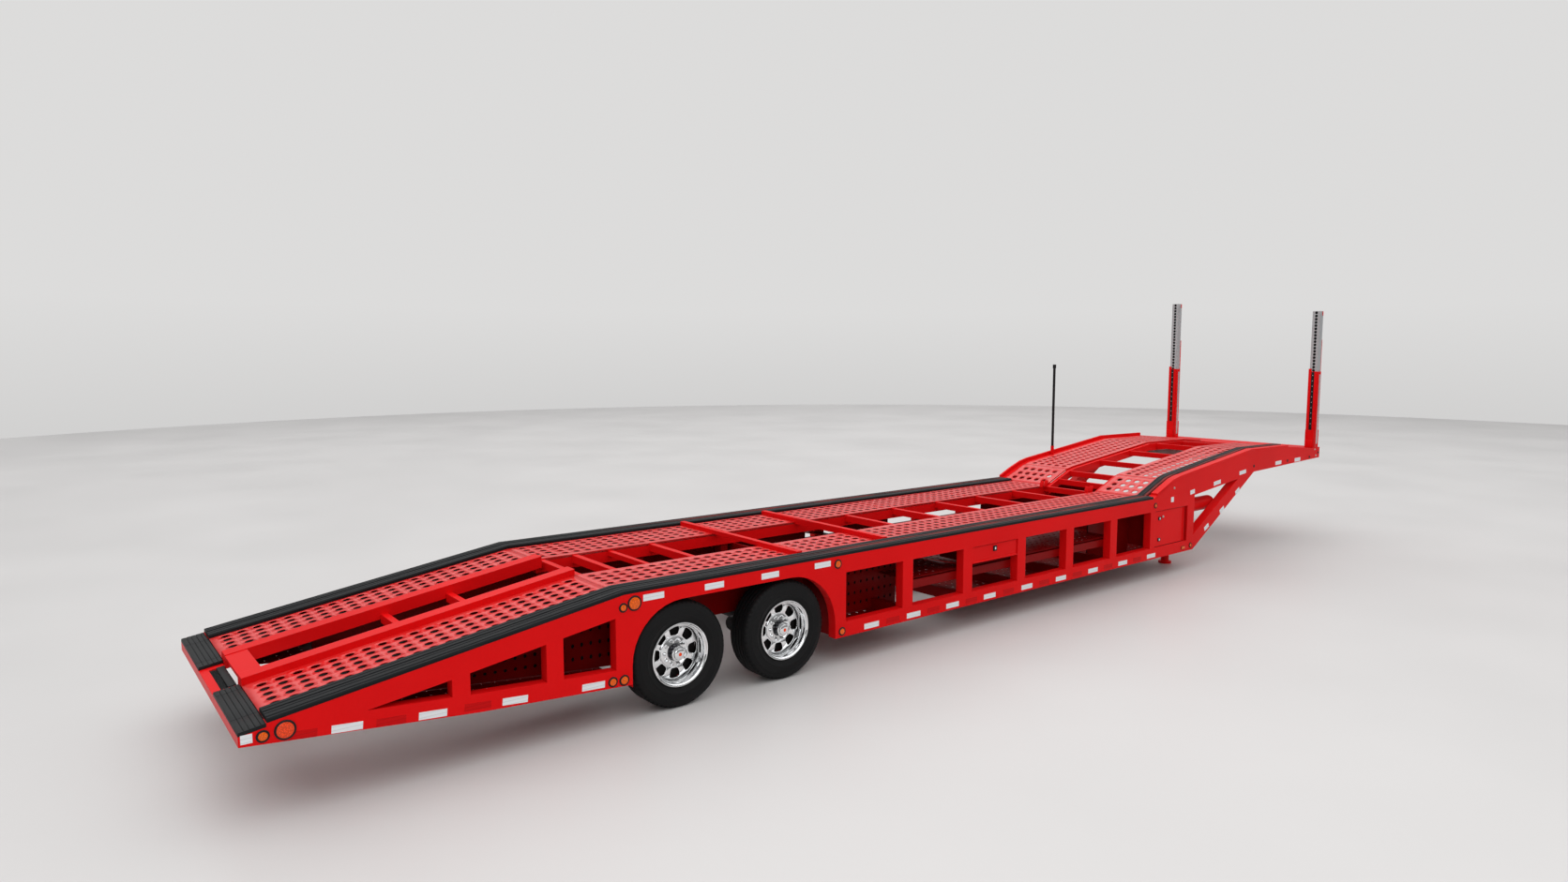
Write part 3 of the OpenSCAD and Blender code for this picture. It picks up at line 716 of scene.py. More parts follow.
POLISHED = (0.2, 0.2, 0.2)
UPRIGHT = (4.0, 4.0, 0.15)
RECIPES = {
    "frame": paint_frame,
    "inside": paint_inside_shade,
    "deck": paint_deck,
    "strip": black_rubber,
    "wear": lambda: plain_rubber("Wear plate rubber", (0.009, 0.010, 0.011), 0.50, 60.0, 0.35),
    "tyre": lambda: plain_rubber("Tyre rubber", (0.0060, 0.0060, 0.0064), 0.58, 130.0, 0.15, 0.02),
    "bezel": lambda: plain_rubber("Bezel rubber", (0.010, 0.010, 0.011), 0.45, 200.0, 0.10),
    "satin": lambda: plain_rubber("Satin black", (0.014, 0.014, 0.015), 0.38, 90.0, 0.12),
    # Dark steel for the brake drums, and black painted shade under the runways and behind the inner walls.
    "dark": lambda: plain_rubber("Dark steel and painted shade", (0.006, 0.005, 0.005), 0.70, 40.0, 0.30),
    # The chrome's hollows are darkened by painted shade.
    "chrome": lambda: bare_metal("Chrome", (0.86, 0.87, 0.88), 0.06, POLISHED, 0.002, painted_shade_reach=0.07),
    # A darker chrome, painted shade on the hubs' sides.
    "shaded chrome": lambda: bare_metal("Chrome in painted shade", (0.10, 0.10, 0.11), 0.10, POLISHED, 0.002),
    "silver": lambda: bare_metal(
        "Post silver", bpy.context.scene.trailer_paint.silver, 0.36, UPRIGHT, 0.10, 0.03, 0.35
    ),
    "steel": lambda: bare_metal("Greased steel", (0.30, 0.29, 0.28), 0.42, (0.3, 3.0, 1.0), 0.25, 0.2),
    "zinc": lambda: bare_metal("Zinc plate", (0.62, 0.61, 0.58), 0.30, (2.0, 2.0, 2.0), 0.10),
    "amber": lambda: lens("Amber lens", bpy.context.scene.trailer_paint.amber),
    "red lens": lambda: lens("Red lens", bpy.context.scene.trailer_paint.lens_red),
    "white tape": lambda: reflective_tape("White tape", (0.78, 0.80, 0.82), 0.35, 0.50),
    "red tape": lambda: reflective_tape("Red tape", (0.56, 0.004, 0.005), 0.34, 0.06),
    "floor": floor_finish,
    "wall": wall_finish,
}


def finish(name):
    """A material by its short name, made when it is first wanted."""
    if name not in MATERIALS:
        MATERIALS[name] = RECIPES[name]()
    return MATERIALS[name]


def give(node, name):
    """Gives a CAD node's object a material."""
    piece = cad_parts[node]
    if not piece.material_slots:
        piece.data.materials.append(finish(name))
    for slot in piece.material_slots:
        slot.material = finish(name)


# ---------- pieces ----------


class PaintChassis(bpy.types.Operator):
    """Gives every piece of the frame its finish"""

    bl_idname = "trailer.paint_chassis"
    bl_label = "Chassis finishes"

    def execute(self, context):
        finishes = {
            "frame": (
                "side_frame_right", "side_frame_left", "neck_beams", "neck_struts", "front_crossbeam",
                "rear_crossbeam", "ramp_rails", "deck_rails", "crossmembers", "raised_crossbars",
                "neck_lip_left", "front_toolbox_door_right", "front_toolbox_door_left",
                "side_toolbox_door_right", "side_toolbox_door_left", "landing_legs", "air_tanks",
                "post_sleeves",
            ),
            # The belly's parts take the inner red, darkened as painted shade.
            "inside": ("lower_deck", "belly_beams", "front_toolboxes", "side_toolboxes", "spring_hangers"),
            "steel": ("coupler_plate",),
            "satin": ("axles", "leaf_springs", "marker_pole"),
            "silver": ("inner_post_right", "inner_post_left"),
            "tyre": [f"tyre_{wheel}" for wheel in WHEELS],
            "chrome": [f"rim_{wheel}" for wheel in WHEELS],
            "amber": ("marker_lamps",),
            "red lens": ("tail_lamps",),
            "deck": ("ramp_runways", "deck_runways", "neck_runways"),
            "strip": ("edge_strip_right", "edge_strip_left"),
            "wear": ("rear_wear_plates",),
        }
        for name, nodes in finishes.items():
            for node in nodes:
                give(node, name)
        return {"FINISHED"}


class BuildRunways(bpy.types.Operator):
    """Builds the pierced plates of the ramp, the deck and the gooseneck"""

    bl_idname = "trailer.build_runways"
    bl_label = "Runways"

    def execute(self, context):
        deck = context.scene.trailer_deck
        ahead = from_rear(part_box("raised_crossbars")[1].x)
        behind = ahead - 0.060 - GAP
        flat, slope = (deck.hole, deck.pitch), (deck.slope_hole, deck.slope_pitch)
        for name, spans, inner, holes, replaces in (
            ("ramp_planks", [(RAMP_START, KNEE - GAP)], WAY_IN, flat, ["ramp_runways"]),
            ("deck_planks", [(KNEE, behind), (ahead, SLOPE - GAP)], WAY_IN, flat, ["deck_runways"]),
            ("slope_planks", [(SLOPE, SLOPE + 0.5)], NECK_WAY_IN, slope, ()),
            ("neck_planks", [(SLOPE + 0.5 + GAP, NECK_END)], NECK_WAY_IN, flat, ["neck_runways"]),
        ):
            self.plank(deck, name, spans, inner, holes, replaces)
        self.shade_plates()
        self.neck_rails()
        return {"FINISHED"}

    def plank(self, deck, name, spans, inner, holes, replaces):
        """Plates over some spans of the deck, with one size and pitch of hole."""
        whole = gathered(
            pierced_plate(start, end, inner, *holes, deck.margin, PLATE - deck.plate)
            for start, end in spans
        )
        piece = new_piece(
            name, whole, TRAILER, "deck", replaces, smooth=30, recalculate=False
        )
        thicken(piece, deck.plate)

    def shade_plates(self):
        """Dark plates of painted shade under the runways, which close the view through the holes."""
        inner, outer, thick = -WAY_IN - 0.010, -SIDE_IN + 0.010, 0.004
        section = ((inner, 0), (inner, -thick), (outer, -thick), (outer, 0))
        bm = bmesh.new()
        for stops in ((RAMP_START + 0.010, KNEE - 0.010), (KNEE + 0.002, SLOPE - 0.010)):
            add_swept(bm, section, [(along(x), deck_height(x) - 0.034) for x in stops])
        mirror_over(bm)
        new_piece("runway_shade_plates", bm, TRAILER, "dark", smooth=0)

    def neck_rails(self):
        """Rails under the inner edges of the gooseneck's plates."""
        inner, outer, deep = -NECK_WAY_IN + 0.060, -NECK_WAY_IN, 0.110
        section = ((outer, 0), (outer, -deep), (inner, -deep), (inner, 0))
        stops = [x for x, _ in NECK_LINE if x < NECK_END] + [NECK_END]
        bm = bmesh.new()
        add_swept(bm, section, [(along(x), deck_height(x) - 0.026) for x in stops])
        mirror_over(bm)
        new_piece("neck_rails", bm, TRAILER, "frame", smooth=0)


class BuildStrips(bpy.types.Operator):
    """Builds the ribbed rubber strips along the deck's outer edges"""

    bl_idname = "trailer.build_strips"
    bl_label = "Edge strips"

    def execute(self, context):
        ribs = (
            (0.000, 0.000), (0.000, 0.020), (0.006, 0.029), (0.020, 0.031), (0.026, 0.025), (0.033, 0.025),
            (0.040, 0.033), (0.080, 0.034), (0.086, 0.029), (0.092, 0.029), (0.098, 0.034), (0.122, 0.034),
            (0.128, 0.020), (0.144, 0.020), (0.150, 0.033), (0.182, 0.034), (0.188, 0.029), (0.194, 0.029),
            (0.200, 0.034), (0.238, 0.033), (0.250, 0.024), (0.250, 0.000),
        )
        narrow = (
            (0.112, 0.000), (0.112, 0.020), (0.118, 0.032), (0.146, 0.034), (0.152, 0.026), (0.160, 0.026),
            (0.166, 0.034), (0.206, 0.034), (0.212, 0.029), (0.220, 0.029), (0.226, 0.034), (0.242, 0.033),
            (0.250, 0.024), (0.250, 0.000),
        )
        ledge = ((0.0, 0.0), (0.0, 0.022), (0.004, 0.026), (0.096, 0.026), (0.100, 0.022), (0.100, 0.0))
        for side, sign in SIDES.items():
            node = f"edge_strip_{side}"
            low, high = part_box(node)
            start, end = from_rear(low.x), from_rear(high.x)
            top = min(end, SLOPE)
            bm = bmesh.new()
            self.run(bm, ribs, sign, start, top, 0.0004)
            neck = top + 0.1
            if end > neck:
                self.run(bm, narrow, sign, top, end, 0.0004)
                trim = bmesh.new()
                self.run(trim, ledge, sign, neck, end, 0.0002)
                new_piece(f"neck_ledge_{side}", trim, TRAILER, "frame", smooth=25)
            new_piece(
                f"ribbed_strip_{side}", bm, TRAILER, "strip", [node], smooth=25
            )
        return {"FINISHED"}

    def run(self, bm, outline, sign, start, end, lift):
        """A section given from the outer edge inwards, along the deck between two distances."""
        section = [(sign * (SIDE_Y - across), up) for across, up in outline]
        bends = [x for x in (KNEE, *(x for x, _ in NECK_LINE)) if start < x < end - 0.01]
        knots = [start, *bends, end]
        stops = []
        for x0, x1 in zip(knots, knots[1:]):
            count = max(1, round((x1 - x0) / 0.3))
            stops += [x0 + (x1 - x0) * i / count for i in range(count)]
        stops.append(end)
        wave = [abs(0.0012 * noise.noise(Vector((3.1 * x, 7.0 * sign, 0)))) for x in stops]
        add_swept(bm, section, [(along(x), deck_height(x) + lift + w) for x, w in zip(stops, wave)])


class BuildWearPlates(bpy.types.Operator):
    """Builds the grooved wear plates at the rear end"""

    bl_idname = "trailer.build_wear_plates"
    bl_label = "Wear plates"

    def execute(self, context):
        low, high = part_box("rear_wear_plates")
        depth = high.x - low.x
        inner = WAY_IN - 0.070
        seams = (inner, inner + 0.115, SIDE_Y - 0.262, SIDE_Y)
        bands = (0.0, 0.036, 0.070, 0.104, 0.138, depth)
        groove = 0.0018
        bm = bmesh.new()
        add_block(bm, (0, -SIDE_Y, -PLATE), (depth, -inner, -0.006), 0.001)
        for a, b in zip(seams, seams[1:]):
            for i, (x0, x1) in enumerate(zip(bands, bands[1:])):
                joined = b == SIDE_Y and i == 2
                near = x0 if joined else x0 + groove
                add_block(bm, (near, groove - b, -0.008), (x1 - groove, -a - groove, 0), 0.0016)
        mirror_over(bm)
        self.pocket(bm, depth)
        for vert in bm.verts:
            vert.co.z += deck_height(vert.co.x)
            vert.co.x = along(vert.co.x)
        new_piece(
            "grooved_wear_plates", bm, TRAILER, "wear", ["rear_wear_plates"]
        )
        return {"FINISHED"}

    def pocket(self, bm, depth, fins=24):
        """The sunk step between the two runways, with a row of small fins."""
        wide = WAY_IN - 0.145
        add_block(bm, (0.108, -wide, -0.050), (depth - 0.004, wide, -0.020), 0.003)
        add_block(bm, (0.062, -wide, -0.050), (0.104, wide, -0.034), 0.001)
        for i in range(fins):
            y = -wide + 0.010 + i * (2 * wide - 0.020) / (fins - 1)
            add_block(bm, (0.064, y - 0.002, -0.034), (0.102, y + 0.002, -0.031))


class BuildWheels(bpy.types.Operator):
    """Builds the tyres, the polished wheels, their nuts and drums"""

    bl_idname = "trailer.build_wheels"
    bl_label = "Wheels"

    def execute(self, context):
        wheels = context.scene.trailer_wheels
        for name in WHEELS:
            low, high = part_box(f"tyre_{name}")
            centre = (low + high) / 2
            out = -1 if name.endswith("right") else 1
            self.tyre(name, centre, out, wheels.steps)
            self.disc(name, centre, out, wheels.windows)
            self.rim(name, centre, out, wheels.nuts)
            self.drum(name, centre, out)
        return {"FINISHED"}

    def turned(self, bm, outline, centre, out, steps, closed=False):
        """A turned shape about a wheel's axis. The outline holds radii and distances outwards."""
        add_turned(bm, [(r, y * out) for r, y in outline], centre, Y_AXIS, steps, closed)

    def tyre(self, name, centre, out, steps):
        """Side walls, two tread grooves and blocks sunk into every second step of the shoulders."""
        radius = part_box(f"tyre_{name}")[1].z - centre.z
        half = [
            (0.262, -0.112), (0.270, -0.1145), (0.283, -0.115), (0.2875, -0.1195), (0.2925, -0.1195),
            (0.2965, -0.1175), (0.312, -0.127), (0.332, -0.134), (0.3365, -0.1372), (0.3405, -0.1372),
            (0.3445, -0.1356), (0.370, -0.1390), (0.396, -0.1378), (0.400, -0.1392), (0.404, -0.1386),
            (0.408, -0.1362), (0.430, -0.1312), (0.444, -0.1262), (0.4475, -0.1235),
            (0.4555, -0.1180), (0.4620, -0.1120), (0.4665, -0.1035), (0.4695, -0.0940),
        ]
        for middle in (-0.066, -0.022):
            crown = 0.0002 * abs(middle) * 10
            for shift, deep in ((-0.0075, 0), (-0.0055, 0.011), (0.0055, 0.011), (0.0075, 0)):
                half.append((radius - deep - crown, middle + shift))
        bm = bmesh.new()
        outline = [(r, -y) for r, y in half] + half[::-1]
        self.turned(bm, outline, centre, out, steps, closed=True)
        bmesh.ops.recalc_face_normals(bm, faces=list(bm.faces))
        shoulders = []
        inner, outer, wide = 0.4485, 0.4665, 0.10
        for face in bm.faces:
            middle = face.calc_center_median() - centre
            if inner < math.hypot(middle.x, middle.z) < outer and abs(middle.y) > wide:
                angle = math.degrees(math.atan2(middle.z, middle.x)) % 360
                if int(angle / (360 / steps)) % 2:
                    shoulders.append(face)
        bmesh.ops.inset_individual(bm, faces=shoulders, thickness=0.0012, depth=-0.0035)
        new_piece(
            f"treaded_tyre_{name}", bm, f"wheel_{name}", "tyre", [f"tyre_{name}"],
            smooth=28,
        )

    def rim(self, name, centre, out, nuts):
        """Barrel, hub with sides darkened as painted shade, nuts in three stages and the cap's plug, which
        glows as painted light.
        """
        bm = bmesh.new()
        barrel = (
            (0.2825, 0.1150), (0.2835, 0.1215), (0.2815, 0.1262), (0.2770, 0.1280), (0.2715, 0.1258),
            (0.2660, 0.1165), (0.2615, 0.1125), (0.2560, 0.1110), (0.2540, 0.1075), (0.2535, 0.0960),
            (0.2500, 0.0880), (0.2440, 0.0850), (0.2410, 0.0800), (0.2405, 0.0600), (0.2440, 0.0400),
            (0.2500, -0.1150), (0.2600, -0.1250), (0.2810, -0.1250), (0.2810, -0.1150),
            (0.2610, -0.1120), (0.2600, 0.1030), (0.2660, 0.1140),
        )
        self.turned(bm, barrel, centre, out, 96, closed=True)
        hub = (
            (0.0, 0.1180), (0.024, 0.1180), (0.040, 0.1150), (0.050, 0.1090), (0.0535, 0.1020),
            (0.0545, 0.0960), (0.0610, 0.0945), (0.0660, 0.0920), (0.0685, 0.0860), (0.0690, 0.0300),
            (0.0760, 0.0270), (0.1310, 0.0240), (0.1370, 0.0210), (0.1400, 0.0150),
            (0.1400, -0.0050), (0.0600, -0.0050), (0.0, -0.0050),
        )
        self.turned(bm, hub, centre, out, 64)
        bmesh.ops.recalc_face_normals(bm, faces=list(bm.faces))
        # Painted shade: the hub's sides take the darker chrome.
        for face in bm.faces:
            middle = face.calc_center_median() - centre
            in_painted_shade = 0.0660 < math.hypot(middle.x, middle.z) < 0.0740
            if in_painted_shade and 0.026 < middle.y * out < 0.088:
                face.material_index = 1
        bolt_circle = 0.1080
        stages = (
            (0.023, 0.0295, 0.0165, 16, None), (0.0295, 0.055, 0.0135, 6, 0.0125),
            (0.055, 0.062, 0.0085, 10, 0.0065),
        )
        way = Y_AXIS * out
        for i in range(nuts):
            angle = math.tau * (i + 0.5) / nuts
            spot = centre + Vector((bolt_circle * math.sin(angle), 0, bolt_circle * math.cos(angle)))
            for start, end, radius, sides, end_radius in stages:
                add_rod(bm, spot + way * start, spot + way * end, radius, sides, end_radius)
        new_piece(
            f"polished_rim_{name}", bm, f"wheel_{name}", ["chrome", "shaded chrome"],
            [f"rim_{name}"], smooth=32, recalculate=False,
        )
        # The plug takes the red lens finish, whose emission makes it glow as painted light though it is no
        # lamp.
        plug = bmesh.new()
        self.turned(plug, ((0.0, 0.1200), (0.012, 0.1195), (0.016, 0.1180)), centre, out, 24)
        new_piece(f"hub_plug_{name}", plug, f"wheel_{name}", "red lens")

    def drum(self, name, centre, out):
        """Brake drum with three cooling ribs."""
        bm = bmesh.new()
        shell = (
            (0.0, -0.030), (0.205, -0.030), (0.2420, -0.034), (0.2420, -0.042), (0.212, -0.046),
            (0.212, -0.115), (0.205, -0.120), (0.0, -0.120),
        )
        self.turned(bm, shell, centre, out, 48)
        for rise in (-0.060, -0.080, -0.100):
            rib = (
                (0.211, rise + 0.006), (0.216, rise + 0.004), (0.216, rise - 0.004),
                (0.211, rise - 0.006),
            )
            self.turned(bm, rib, centre, out, 48, closed=True)
        new_piece(f"brake_drum_{name}", bm, f"wheel_{name}", "dark")

    def disc(self, name, centre, out, windows):
        """The crowned disc, with a rounded hand hole in each share of it."""
        bm = bmesh.new()
        share = math.tau / windows
        middle, depth, base, crown = 0.1900, 0.1140, 0.0140, 0.010
        wide, tall = share * 0.64, 0.78
        cell = add_cell(bm, share, 1.0, wide, tall, sides=24)
        for vert in list(bm.verts):
            part, reach = vert.co.x / wide * 2, vert.co.y / tall * 2
            if abs(math.hypot(part, reach) - 1) < 0.01:
                fuller = (abs(part) ** 4 + abs(reach) ** 4) ** -0.25
                part, reach = part * fuller, reach * fuller
            angle, reach = part * wide / 2, reach * tall / 2
            radius = middle + reach * depth
            rise = base + crown * math.sin(math.pi * (reach + 0.5))
            spot = Vector((radius * math.sin(angle), out * rise, radius * math.cos(angle)))
            vert.co = centre + spot
        for i in range(1, windows):
            copy = bmesh.ops.duplicate(bm, geom=cell)["geom"]
            turn = Matrix.Rotation(share * i, 3, "Y")
            bmesh.ops.rotate(bm, cent=centre, matrix=turn, verts=verts_in(copy))
        bmesh.ops.remove_doubles(bm, verts=list(bm.verts), dist=TOUCH)
        face_towards(bm, Y_AXIS * out)
        piece = new_piece(
            f"wheel_disc_{name}", bm, f"wheel_{name}", "chrome", smooth=40,
            recalculate=False,
        )
        thicken(piece, 0.014)
        edges = piece.modifiers.new("Edges", "BEVEL")
        edges.width = 0.0030
        edges.segments = 2
        edges.angle_limit = math.radians(50)


class BuildInside(bpy.types.Operator):
    """Builds the pierced sheets and bulkheads seen through the side windows"""

    bl_idname = "trailer.build_inside"
    bl_label = "Inner sheets"

    def execute(self, context):
        edge = SIDE_IN - 0.006
        low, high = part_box("lower_deck")
        start, end = from_rear(low.x), from_rear(high.x)
        rear, tyres = 0.300, from_rear(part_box("tyre_rear_right")[0].x) - 0.040
        tail, fall = 0.565, (0.500 - BELLY_Z) / (KNEE - 0.400)
        belly = ((start - 0.95, start + 0.30, 0.20, edge), (start + 1.12, BELLY_END - 0.040, 0.20, edge))
        swan_end = start + 0.92
        for name, spans, surface, hole, replaces in (
            ("ramp_pan", ((rear, tyres, WAY_IN + 0.060, edge),),
             lambda x, y: tail - fall * (x - rear), 0.022, ()),
            ("lower_sheet", ((start, end, WAY_IN, SIDE_IN),),
             lambda x, y: low.z + PLATE, 0.036, ["lower_deck"]),
            ("belly_pan", belly, lambda x, y: BELLY_Z + 0.028, 0.036, ()),
            ("swan_sheet", ((start - 0.020, swan_end, 0.42, edge),),
             lambda x, y: DECK_Z - 0.155 - 0.22 * (x - start) / 0.92, 0.036, ()),
        ):
            self.sheet(name, spans, surface, hole, replaces)
        self.walls(start)
        return {"FINISHED"}

    def sheet(self, name, spans, surface, hole, replaces):
        """Pierced sheets on both sides, each from a start, an end and two distances out."""
        parts = []
        for start, end, inner, outer in spans:
            parts.append(bmesh.new())
            add_sheet(parts[-1], (start, -outer), (end, -inner), hole, 0.105, 0.030, surface, 8)
        bm = gathered(parts)
        bmesh.ops.translate(bm, vec=(along(0), 0, 0), verts=list(bm.verts))
        face_towards(bm, Z_AXIS)
        mirror_over(bm)
        # The sheets take the inner red, darkened as painted shade.
        piece = new_piece(
            name, bm, TRAILER, "inside", replaces, smooth=0, recalculate=False
        )
        thicken(piece, 0.005)

    def walls(self, start):
        """Upright sheets beside the arch, the ramp, the last window and the wheels."""
        boxes = from_rear(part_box("front_toolboxes")[0].x)

        def belly(x):
            return BELLY_Z + 0.035

        def under(x):
            return deck_height(x) - 0.150

        def ramp_foot(x):
            return 0.570 - 0.088 * (x - 0.3)

        def ramp_top(x):
            return deck_height(x) - 0.045

        for name, x0, x1, out, low, high, hole in (
            ("arch_wall", start - 0.95, start + 0.26, 0.780, belly, under, 0.030),
            ("ramp_wall", 0.900, KNEE + 0.200, 0.780, ramp_foot, ramp_top, 0.030),
            ("box_wall", boxes - 0.95, boxes - 0.01, 0.900, belly, under, 0.006),
            ("wheel_wall", KNEE + 0.240, start - 0.980, 0.800, lambda x: 0.600, under, 0.006),
        ):
            self.wall(name, x0, x1, out, low, high, hole)
            self.shade_backing(name, x0, x1, out - 0.014, low, high)

    def wall(self, name, x0, x1, out, low, high, hole):
        """One pierced wall on each side, between two heights."""
        bm = bmesh.new()
        add_sheet(bm, (x0, 0.0), (x1, 0.5), hole, 0.083, 0.030, lambda x, z: 0.0, 8)
        for vert in bm.verts:
            x, part = vert.co.x, vert.co.y * 2
            vert.co = (along(x), -out, low(x) + part * (high(x) - low(x)))
        face_towards(bm, -Y_AXIS)
        mirror_over(bm)
        # The walls take the inner red, darkened as painted shade.
        piece = new_piece(name, bm, TRAILER, "inside", smooth=0, recalculate=False)
        thicken(piece, 0.005)

    def shade_backing(self, name, x0, x1, out, low, high):
        """A plain sheet of painted shade behind a wall: black towards its holes, the inner red in painted
        shade towards the middle.
        """
        bm = bmesh.new()
        bmesh.ops.create_grid(bm, x_segments=8, y_segments=1, size=0.5)
        for vert in bm.verts:
            x, part = x0 + (vert.co.x + 0.5) * (x1 - x0), vert.co.y + 0.5
            vert.co = (along(x), -out, low(x) + part * (high(x) - low(x)))
        mirror_over(bm)
        face_towards(bm, -Y_AXIS, [f for f in bm.faces if f.calc_center_median().y < 0])
        piece = new_piece(
            f"{name}_back", bm, TRAILER, ["dark", "inside"], smooth=0,
            recalculate=False,
        )
        thicken(piece, 0.003, rim=1)


class BuildTrim(bpy.types.Operator):
    """Builds the bolts, latches, seals, fins and brake chambers"""

    bl_idname = "trailer.build_trim"
    bl_label = "Trim"

    def execute(self, context):
        self.bolts()
        self.latches()
        self.chambers()
        self.fins()
        return {"FINISHED"}

    def bolts(self):
        """Bolts with washers, and the rings of the lashing holes along the gooseneck, with black middles
        of painted shade for the holes.
        """
        holes, zinc = bmesh.new(), bmesh.new()
        bolt_spots = (
            (SLOPE + 0.255, DECK_Z - 0.261), (SLOPE + 0.518, DECK_Z + 0.105),
            (LENGTH - 0.180, 1.444), (LENGTH - 0.136, 1.342),
        )
        hole_spots = (
            (LENGTH - 2.265, 1.328), (LENGTH - 1.153, 1.328), (LENGTH - 0.367, 1.333),
            (LENGTH - 0.050, 1.386),
        )
        ring = ((0.0, 0.0006), (0.016, 0.0006), (0.017, 0.0030), (0.021, 0.0030), (0.023, 0.0))
        for sign in SIDES.values():
            out = Y_AXIS * sign
            for x, z in bolt_spots:
                spot = Vector((along(x), sign * SIDE_Y, z))
                add_rod(zinc, spot, spot + out * 0.003, 0.017, 20)
                add_rod(zinc, spot + out * 0.003, spot + out * 0.011, 0.0115, 6, 0.0105)
            # Each ring is a black disc: a raised rubber rim round painted shade for the hole.
            for x, z in hole_spots:
                spot = Vector((along(x), sign * SIDE_Y, z))
                add_turned(holes, [(r, y * sign) for r, y in ring], spot, Y_AXIS, 20)
        new_piece("frame_bolts", zinc, TRAILER, "zinc")
        new_piece("lashing_rings_and_hole_shade", holes, TRAILER, "bezel")

    def latches(self):
        """Paddle latches on the toolbox doors, and a seal round each front door."""
        for side, sign in SIDES.items():
            for kind in ("front", "side"):
                body = f"{kind}_toolbox_door_{side}"
                low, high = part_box(body)
                if kind == "front":
                    face = sign * max(abs(low.y), abs(high.y))
                    spots = ((low.x + 0.120, high.z - 0.100), (low.x + 0.120, low.z + 0.090))
                    paddle = 0.022
                    self.seal(side, sign, face, low, high)
                else:
                    face = sign * SIDE_Y
                    spots = (((low.x + high.x) / 2, high.z - 0.052),)
                    paddle = 0.030
                black, bright = bmesh.new(), bmesh.new()
                for x, z in spots:
                    for bm, back, front, wide, tall in (
                        (black, 0.016, 0.004, 0.030, paddle), (bright, 0.005, 0.001, 0.011, 0.014),
                    ):
                        add_block(
                            bm, (x - wide, face - sign * back, z - tall),
                            (x + wide, face - sign * front, z + tall), 0.003, 3,
                        )
                new_piece(f"{kind}_latch_{side}", black, body, "bezel")
                new_piece(f"{kind}_catch_{side}", bright, body, "chrome")

    def seal(self, side, sign, face, low, high):
        """Four lengths of rubber behind the edges of a front door."""
        bm = bmesh.new()
        for x0, x1, z0, z1 in (
            (low.x - 0.012, low.x + 0.004, low.z - 0.010, high.z + 0.010),
            (high.x - 0.004, high.x + 0.022, low.z - 0.010, high.z + 0.010),
            (low.x, high.x, low.z - 0.012, low.z + 0.004),
            (low.x, high.x, high.z - 0.004, high.z + 0.012),
        ):
            add_block(bm, (x0, face - sign * 0.030, z0), (x1, face - sign * 0.018, z1), 0.002)
        new_piece(f"door_seal_{side}", bm, TRAILER, "bezel")

    def chambers(self):
        """A brake chamber with its push rod behind each wheel."""
        bm = bmesh.new()
        outline = (
            (0.0, -0.100), (0.055, -0.100), (0.072, -0.080), (0.075, -0.030), (0.083, -0.028),
            (0.083, -0.016), (0.075, -0.014), (0.075, 0.040), (0.060, 0.066), (0.022, 0.070),
            (0.022, 0.085), (0.0, 0.085),
        )
        for wheel in ("rear", "front"):
            low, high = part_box(f"rim_{wheel}_right")
            centre = (low + high) / 2
            for y in (-0.700, 0.700):
                base = Vector((centre.x - 0.150, y, centre.z - 0.020))
                add_turned(bm, outline, base, X_AXIS, 32)
                rod_end = (centre.x - 0.030, y, centre.z - 0.045)
                add_rod(bm, base + X_AXIS * 0.080, rod_end, 0.010, 12)
        new_piece("brake_chambers", bm, TRAILER, "satin")

    def fins(self):
        """Two leaning fins on each runway's inner edge, before the slope."""
        bm = bmesh.new()
        for sign in SIDES.values():
            for x in (SLOPE - 0.160, SLOPE - 0.060):
                spot = Vector((along(x), sign * (WAY_IN - 0.035), DECK_Z + 0.035))
                turn = Matrix.Translation(spot) @ Matrix.Rotation(0.3, 4, "Y")
                add_block(bm, (-0.006, -0.030, -0.055), (0.006, 0.030, 0.050), 0.003, 2, turn)
        new_piece("slope_fins", bm, TRAILER, "frame")


